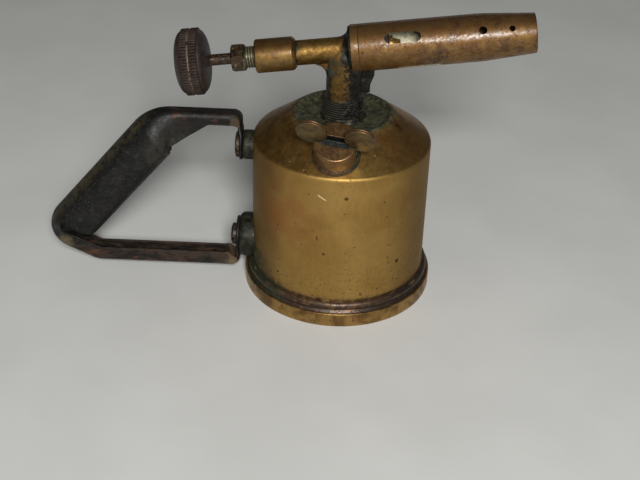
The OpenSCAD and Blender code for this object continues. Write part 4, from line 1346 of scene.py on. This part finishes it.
def casting_finish():
    """Green-black tarnished casting, worn to gold down the front of the stem and along the arm, grey on
    its thread."""
    f = Finish("casting_patina")
    f.colour = f.patches((9, 9, 7), (48, 47, 35), 0.42, 0.66, 2.6, 5, 0.75, 0.4)
    wander = f.sum("MULTIPLY", f.sum("SUBTRACT", f.noise(2.2, 5, 0.7, 0.6, shift=(2, 4, 9)), 0.5), 9.0)
    across = f.sum("ADD", f.x, wander)
    upward = f.sum("ADD", f.z, f.sum("MULTIPLY", wander, 0.8))
    along = f.sum("ADD", f.x, f.sum("MULTIPLY", wander, 0.6))
    on_stem = f.many(f.step(across, -5.8, -4.2), f.step(across, 2.8, 1.4), f.step(f.y, -3, -5),
                     f.step(upward, stem_base - 0.9, stem_base + 2.1),
                     f.step(upward, burner_z - 2.9, burner_z - 6.4))
    on_arm = f.many(f.step(along, -0.5, -3.0), f.step(along, arm_end + 0.4, arm_end + 1.8),
                    f.step(f.z, burner_z - 9.4, burner_z - 6.9))
    bright = f.most(on_stem, on_arm)
    f.lay(f.patches((96, 71, 34), (126, 98, 52), 0.4, 0.62, 3.0, 5, 0.65), bright)
    f.lay((78, 84, 74), f.near((-5, -6, 110), 2.5, 3), f.cloud(0.35, 0.55, 2, 4, 0.7), 0.7)
    crests = f.mix(f.step(f.edges(), 0.51, 0.58), (26, 25, 21), (104, 99, 84))
    f.lay(crests, f.step(f.z, stem_base + 0.2, stem_base - 0.6))
    blotch = f.many(f.cloud(0.46, 0.54, 2.0, 4, 0.7, 0.5, shift=(6, 6, 2)), f.step(f.x, -3.4, 0.6))
    f.lay((12, 11, 9), blotch, 0.9)
    f.shader.inputs["Specular IOR Level"].default_value = 0.3
    metal = f.sum("ADD", 0.35, f.many(bright, f.less(1.0, blotch), 0.55))
    return f.done(metal, f.dull(0.4, 0.6, 1.4, 5, 0.7), f.noise(1.0, 5, 0.7), 0.10)


def boss_finish():
    """Grey-green verdigris over dark brass."""
    f = Finish("boss_verdigris")
    f.colour = f.patches((19, 19, 13), (50, 50, 36), 0.38, 0.66, 3.0, 5, 0.7, 0.4)
    f.lay((130, 108, 66), f.cloud(0.62, 0.7, 1.6, 4, 0.65, shift=(4, 4, 1)), 0.4)
    f.shader.inputs["Specular IOR Level"].default_value = 0.3
    return f.done(0.4, f.dull(0.45, 0.65, 1.5), f.noise(1.0, 5, 0.65), 0.12)


def stem_boss_finish():
    """Black tarnished ring with a few brown scuffs."""
    f = Finish("stem_boss_tarnish")
    f.colour = f.patches((20, 19, 15), (74, 68, 48), 0.44, 0.66, 2.6, 5, 0.7)
    return f.done(0.4, f.dull(0.42, 0.62, 1.5), f.noise(1.0, 5, 0.65), 0.1)


def box_finish():
    """Golden stuffing box with a clear film, darkened to orange-brown on its upper side as painted shade,
    with dark spots.
    """
    f = Finish("stuffing_box_patina")
    f.colour = f.patches((98, 72, 32), (121, 95, 47), 0.38, 0.62, 4, 5, 0.6, 0.4)
    f.lay((138, 84, 34), f.cloud(0.55, 0.68, 3, 4, 0.6, shift=(2, 9, 4)), 0.6)
    f.lay((46, 34, 18), f.cloud(0.66, 0.72, 1.3, 2, 0.5, shift=(4, 1, 1)), 0.85)
    # Painted shade: the upper side is darkened to orange-brown.
    f.lay((76, 48, 20), f.step(f.along(-BURNER[3], BURNER[0]), 0.5, 6.0), 0.65)
    f.shader.inputs["Coat Weight"].default_value = 0.4
    f.shader.inputs["Coat Roughness"].default_value = 0.25
    return f.done(0.88, f.dull(0.5, 0.64, 1.5), f.noise(0.8, 4, 0.6), 0.04)


def gland_finish():
    """Brown nut with gold spots and dark teal patches, grey-green on its thread."""
    f = Finish("gland_patina")
    f.colour = f.patches((40, 31, 22), (72, 57, 36), 0.4, 0.62, 2.2, 5, 0.65)
    f.lay((140, 114, 64), f.cloud(0.6, 0.68, 1.2, 3, 0.6, shift=(3, 3, 7)), 0.7)
    f.lay((48, 60, 52), f.cloud(0.58, 0.68, 2.0, 4, 0.6, shift=(8, 2, 2)), 0.7)
    crests = f.mix(f.step(f.edges(), 0.49, 0.56), (62, 60, 46), (150, 142, 112))
    f.lay(crests, f.step(f.x, gland_face - 0.4, gland_face + 0.5))
    return f.done(0.65, f.dull(0.34, 0.52, 1.2), f.noise(0.8, 4, 0.6), 0.05)


def spindle_finish():
    """Dark brown rod with tan flecks."""
    f = Finish("spindle_tarnish")
    f.colour = f.patches((38, 29, 22), (70, 54, 37), 0.42, 0.62, 1.6, 5, 0.65)
    f.lay((176, 146, 96), f.cloud(0.6, 0.68, 0.8, 3, 0.6, shift=(3, 1, 7)), 0.7)
    return f.done(0.6, f.dull(0.36, 0.52, 1.2), f.noise(0.7, 4, 0.6), 0.05)


def knob_finish():
    """Maroon-black moulding with a faint sheen, brown rows and tan dust in its groove and hollows."""
    f = Finish("knob_moulding_aged")
    f.colour = f.patches((25, 17, 15), (46, 34, 30), 0.36, 0.66, 3.4, 4, 0.6)
    middle = (knob_inner + knob_outer) / 2
    groove = f.between(f.along(BURNER[1], BURNER[0]), middle - groove_half, middle + groove_half, 0.2)
    f.lay((94, 78, 60), groove, f.cloud(0.4, 0.56, 1.6, 4, 0.7, shift=(2, 7, 3)))
    rows = f.step(f.radius(BURNER), knob_r - 1.4, knob_r - 0.6)
    f.lay((38, 28, 21), rows, f.less(1.0, groove), f.cloud(0.4, 0.6, 2.2, 4, 0.7), 0.6)
    f.lay((104, 82, 58), f.step(f.edges(), 0.49, 0.44), f.cloud(0.45, 0.6, 1.1, 3, 0.6), 0.7)
    f.put(f.shader.inputs["Specular IOR Level"], f.less(0.65, rows, 0.47))
    return f.done(0.0, f.dull(0.42, 0.58, 2.2), f.noise(0.7, 4, 0.6), 0.03)


def barrel_brass(name):
    """A finish begun as golden-brown brass clouded with copper and olive, with fine specks and painted shade
    darkening its upper side, under a patchy clear film. Gives the mask of its pits too."""
    f = Finish(name)
    f.colour = f.patches((101, 71, 32), (123, 93, 48), 0.36, 0.64, 8, 5, 0.65, 0.6)
    f.lay((108, 70, 42), f.cloud(0.52, 0.66, 6, 4, 0.6, 0.5, shift=(5, 3, 8)), 0.5)
    f.lay((172, 144, 98), f.cloud(0.58, 0.7, 0.9, 4, 0.7), 0.4)
    pits = f.cloud(0.66, 0.72, 1.3, 2, 0.5, shift=(4, 9, 1))
    f.lay((50, 34, 22), pits, 0.75)
    f.lay((84, 50, 28), f.cloud(0.54, 0.64, 3.2, 5, 0.7, 0.5, shift=(2, 6, 5)), 0.45)
    # Painted shade: the upper side of the tube is darkened.
    f.lay((82, 54, 24), f.step(f.along(-BURNER[3], BURNER[0]), 1.0, 8.0), 0.6)
    film = f.step(f.noise(1.3, 5, 0.75, shift=(8, 2, 6)), 0.42, 0.62, 0.1, 0.85)
    f.put(f.shader.inputs["Coat Weight"], film)
    f.shader.inputs["Coat Roughness"].default_value = 0.27
    return f, pits


def barrel_finish():
    """Golden-brown barrel with a dark heat stain, smudges near the muzzle, a pale scrape and painted light on
    the inside wall.
    """
    f, pits = barrel_brass("barrel_heat_patina")
    f.lay((60, 45, 41), f.near((38, -9.5, 118), 2, 7), f.cloud(0.36, 0.56, 3, 4, 0.65), 0.75)
    f.lay((66, 42, 28), f.cloud(0.5, 0.64, 5, 5, 0.65, 0.4, shift=(7, 3, 3)), f.step(f.x, 22, 46), 0.55)
    scrape = f.many(f.between(f.x, 24, 40, 2), f.step(f.y, -2.6, -3.6), f.step(f.y, -7.4, -6.6),
                    f.step(f.z, 117, 115))
    f.lay((214, 206, 178), scrape, f.cloud(0.36, 0.5, 1.4, 4, 0.7, shift=(1, 1, 6)), 0.8)
    # Painted light: the inside wall is painted pale, matte and not metallic, as the brass there lit through
    # the slot.
    inner = f.many(f.step(f.radius(BURNER), barrel_bore + 0.5, barrel_bore + 0.2), f.step(f.x, 50, 48))
    f.lay(f.patches((150, 144, 116), (206, 200, 170), 0.36, 0.64, 2.5, 5, 0.7), inner)
    rough = f.most(f.dull(0.54, 0.7, 1.2, 5, 0.7), f.many(inner, 0.85))
    height = f.sum("SUBTRACT", f.noise(0.9, 5, 0.65), pits)
    return f.done(f.less(0.85, inner, 0.85), rough, height, 0.07)


def collar_finish():
    """Ring of the barrel's brass, a little lighter."""
    f, _ = barrel_brass("collar_patina")
    f.lay((116, 90, 48), 0.2)
    return f.done(0.85, f.dull(0.54, 0.7, 1.2, 5, 0.7), f.noise(0.9, 5, 0.65), 0.06)


def pin_finish():
    """Pin of the barrel's brass."""
    f, _ = barrel_brass("pin_patina")
    return f.done(0.85, f.dull(0.54, 0.7, 1.2, 5, 0.7), f.noise(0.9, 5, 0.65), 0.05)


def handle_finish():
    """Black painted sheet, scratched and worn, with a painted olive sheen on the outer side of the grip,
    brown with rust along the arms and bare tan metal at its lower bend."""
    f = Finish("handle_worn_paint")
    f.colour = f.patches((9, 9, 8), (27, 26, 23), 0.42, 0.66, 4, 5, 0.7, 0.4)
    f.lay((96, 91, 80), f.cloud(0.58, 0.66, 0.8, 5, 0.8), 0.5)
    f.lay((128, 120, 104), f.cloud(0.66, 0.71, 1.5, 4, 0.75, 1.2, stretch=(1, 0.4, 1), shift=(6, 1, 9)), 0.7)
    # Painted sheen: olive along the outer side of the grip.
    lean = math.radians(grip_slope)
    back = f.along((-math.sin(lean), 0, math.cos(lean)), (-grip_corner, 0, upper_arm_z))
    f.lay((76, 68, 46), f.step(back, -3.4, -0.8), f.cloud(0.36, 0.6, 3, 5, 0.7, shift=(8, 5, 2)), 0.6)
    lower_arm = f.step(f.z, lower_arm_z + 9.6, lower_arm_z + 7.1)
    upper_arm = f.step(f.z, upper_arm_z - 9.5, upper_arm_z - 5.5)
    arms = f.most(lower_arm, f.many(upper_arm, f.step(f.x, 5.1 - grip_corner, 11.1 - grip_corner)))
    brown = f.patches((20, 17, 14), (54, 42, 33), 0.4, 0.62, 3, 5, 0.7, 0.4, stretch=(0.35, 1, 1),
                      shift=(5, 5, 5))
    f.lay(brown, arms, f.cloud(0.3, 0.52, 7, 4, 0.6, shift=(2, 2, 2)))
    bend = f.many(f.step(f.z, upper_arm_z - 10.5, upper_arm_z - 5.5),
                  f.step(f.x, -0.9 - grip_corner, 7.1 - grip_corner))
    f.lay((11, 10, 9), bend, 0.7)
    rust = f.cloud(0.56, 0.66, 3.5, 5, 0.65, 0.3, stretch=(0.25, 1, 1), shift=(1, 7, 1))
    f.lay((88, 54, 36), arms, rust, 0.65)
    bare = f.most(f.near((-129, -8, 14), 3.2, 3.2), f.near((-50, -6, 6), 1.0, 4.0))
    f.lay((108, 94, 70), bare, f.cloud(0.3, 0.5, 2.2, 4, 0.7, shift=(4, 4, 2)), 0.7)
    f.lay((52, 50, 42), f.near((-78, -8, 66), 6, 7), f.cloud(0.36, 0.56, 3, 5, 0.7, shift=(3, 8, 3)), 0.6)
    f.lay((112, 94, 68), f.step(f.edges(), 0.53, 0.6), 0.25)
    f.shader.inputs["Specular IOR Level"].default_value = 0.28
    return f.done(0.1, f.dull(0.38, 0.6, 1.8, 4, 0.65), f.noise(1.1, 5, 0.75), 0.16)


def screw_finish():
    """Dark brown steel with rust."""
    f = Finish("screw_rusted")
    f.colour = f.patches((30, 24, 19), (72, 57, 40), 0.4, 0.62, 1.8, 5, 0.7)
    return f.done(0.5, f.dull(0.42, 0.62, 1.2), f.noise(0.8, 5, 0.65), 0.08)


def leather_finish():
    """Dark oiled leather."""
    f = Finish("washer_oiled")
    f.colour = f.patches((40, 28, 20), (74, 54, 36), 0.4, 0.62, 1.4, 5, 0.65)
    return f.done(0.0, f.dull(0.6, 0.8, 1.0), f.noise(0.6, 5, 0.65), 0.06)


def inner_brass_finish():
    """Plain brass of the pieces inside the burner."""
    f = Finish("inner_brass")
    f.colour = f.patches((120, 92, 48), (168, 132, 72), 0.4, 0.62, 3, 4, 0.6)
    return f.done(0.8, f.dull(0.35, 0.5, 1.5))


def cotton_finish():
    """Grey-tan wick and packing."""
    f = Finish("wick_cotton_fibres")
    f.colour = f.patches((134, 122, 100), (184, 172, 148), 0.4, 0.62, 1.2, 5, 0.7)
    return f.done(0.0, f.dull(0.85, 0.95, 0.8), f.noise(0.6, 5, 0.7), 0.1)


def finish_piece(made, nodes, body, finish):
    """Gives the object its material and body, and hides the CAD nodes that it stands for."""
    made.data.materials.clear()
    made.data.materials.append(finish)
    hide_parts(*nodes)
    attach(made, body)


BODY = "lamp_body"
boss_material = boss_finish()
screw_material = screw_finish()
inner_material = inner_brass_finish()
cotton_material = cotton_finish()
finish_piece(build_tank_shell(), ["tank_shell"], BODY, tank_finish())
finish_piece(build_tank_bottom(), ["tank_bottom"], BODY, skirt_finish())
finish_piece(build_stem_boss(), ["stem_boss"], BODY, stem_boss_finish())
finish_piece(build_filler_bush(), ["filler_bush"], BODY, bush_finish())
finish_piece(build_filler_washer(), ["filler_washer"], "filler_seal", leather_finish())
finish_piece(build_filler_cap(), ["filler_cap"], "filler_plug", cap_finish())
finish_piece(build_filler_wing(), ["filler_wing"], "filler_plug", wing_finish())
finish_piece(build_boss("upper_boss_visual", UPPER_SCREW, upper_boss_r, upper_boss_reach, upper_boss_round),
             ["upper_boss"], BODY, boss_material)
finish_piece(build_boss("lower_boss_visual", LOWER_SCREW, lower_boss_r, lower_boss_reach, lower_boss_round),
             ["lower_boss"], BODY, boss_material)
finish_piece(build_screw("upper_screw_visual", UPPER_SCREW, upper_head_r, upper_head, upper_boss_reach),
             ["upper_screw"], BODY, screw_material)
finish_piece(build_screw("lower_screw_visual", LOWER_SCREW, lower_head_r, lower_head, lower_boss_reach),
             ["lower_screw"], BODY, screw_material)
finish_piece(build_handle_sheet(), ["handle_sheet"], BODY, handle_finish())
finish_piece(build_burner_body(), ["burner_body"], BODY, casting_finish())
finish_piece(build_stuffing_box(), ["stuffing_box"], BODY, box_finish())
finish_piece(build_gland_nut(), ["gland_nut"], BODY, gland_finish())
finish_piece(build_spindle(), ["spindle"], "valve_spindle", spindle_finish())
finish_piece(build_knob(), ["knob"], "valve_knob", knob_finish())
finish_piece(build_knob_nut(), ["knob_nut"], "valve_knob", inner_material)
finish_piece(build_barrel(), ["burner_barrel"], BODY, barrel_finish())
finish_piece(build_collar(), ["barrel_collar"], BODY, collar_finish())
finish_piece(build_pin(), ["barrel_pin"], BODY, pin_finish())
finish_piece(build_jet_nipple(), ["jet_nipple"], BODY, inner_material)
for name, material in (("feed_tube", inner_material), ("gland_follower", inner_material),
                       ("wick", cotton_material), ("gland_packing", cotton_material)):
    node = frame["nodes"][name]
    node.data.materials.clear()
    node.data.materials.append(material)


def build_floor():
    """A pale floor that fills the picture."""
    reach = 6.0
    mesh = bpy.data.meshes.new("pale_floor")
    corners = [(-reach, -reach, 0), (reach, -reach, 0), (reach, reach, 0), (-reach, reach, 0)]
    mesh.from_pydata(corners, [], [(0, 1, 2, 3)])
    floor = piece("pale_floor", mesh)
    f = Finish("pale_floor_matte")
    f.colour = f.patches((198, 198, 194), (204, 204, 200), 0.3, 0.7, 60, 3, 0.5)
    mesh.materials.append(f.done(0.0, 0.9))


def facing(side, up, back, position):
    """The matrix of an object at a position whose own axes point to the side, up and back."""
    return Matrix([(side[i], up[i], back[i], position[i]) for i in range(3)] + [(0, 0, 0, 1)])


def add_light(name, position, target, size, power):
    """A square area light that faces a target; places and size are in metres."""
    data = bpy.data.lights.new(name, "AREA")
    data.shape = "SQUARE"
    data.size = size
    data.energy = power
    light = bpy.data.objects.new(name, data)
    back = unit(np.array(position) - np.array(target))
    side = unit(np.cross((0, 0, 1), back))
    light.matrix_world = facing(side, np.cross(back, side), back, position)
    bpy.context.scene.collection.objects.link(light)


def build_lights():
    """A soft key light above the camera, a weak fill from the left, top and back lights and a dim grey
    surround."""
    add_light("key_light", (0.11, -1.09, 0.77), (0, 0, 0.05), 0.33, 21.0)
    add_light("fill_light", (-0.9, -0.6, 0.7), (0, 0, 0.05), 0.9, 0.8)
    add_light("top_light", (0.1, 0.5, 1.3), (0, 0, 0.05), 1.0, 0.5)
    add_light("back_light", (0.2, 1.5, 0.35), (0, 0, 0.02), 0.8, 0.7)
    world = bpy.data.worlds.new("grey_surround")
    world.use_nodes = True
    world.node_tree.nodes["Background"].inputs["Color"].default_value = tone(150, 150, 148)
    world.node_tree.nodes["Background"].inputs["Strength"].default_value = 0.10
    bpy.context.scene.world = world


def build_camera():
    """The photo's camera: it looks at a point from an elevation and distance, turned so that the point
    falls on its pixel, and rolled."""
    elevation, roll = math.radians(CAMERA_ELEVATION), math.radians(CAMERA_ROLL)
    right = np.array([1.0, 0, 0])
    back = np.array([0, -math.cos(elevation), math.sin(elevation)])
    up = np.cross(back, right)
    yaw = math.atan2(LOOK_AT_PIXEL[0] - PICTURE_WIDTH / 2, FOCAL)
    pitch = math.atan2(PICTURE_HEIGHT / 2 - LOOK_AT_PIXEL[1], FOCAL)
    side = math.cos(yaw) * right - math.sin(yaw) * back
    ahead = -math.sin(yaw) * right - math.cos(yaw) * back
    rise = math.cos(pitch) * up + math.sin(pitch) * ahead
    ahead = -math.sin(pitch) * up + math.cos(pitch) * ahead
    x = math.cos(roll) * side - math.sin(roll) * rise
    y = math.sin(roll) * side + math.cos(roll) * rise
    data = bpy.data.cameras.new("photo_camera")
    data.sensor_width = 36.0
    data.lens = FOCAL * data.sensor_width / PICTURE_WIDTH
    data.clip_start = 0.01
    camera = bpy.data.objects.new("photo_camera", data)
    camera.matrix_world = facing(x, y, -ahead, np.array(LOOK_AT) + back * CAMERA_DISTANCE)
    bpy.context.scene.collection.objects.link(camera)
    bpy.context.scene.camera = camera


build_floor()
build_lights()
build_camera()
bpy.context.scene.view_settings.view_transform = "Standard"
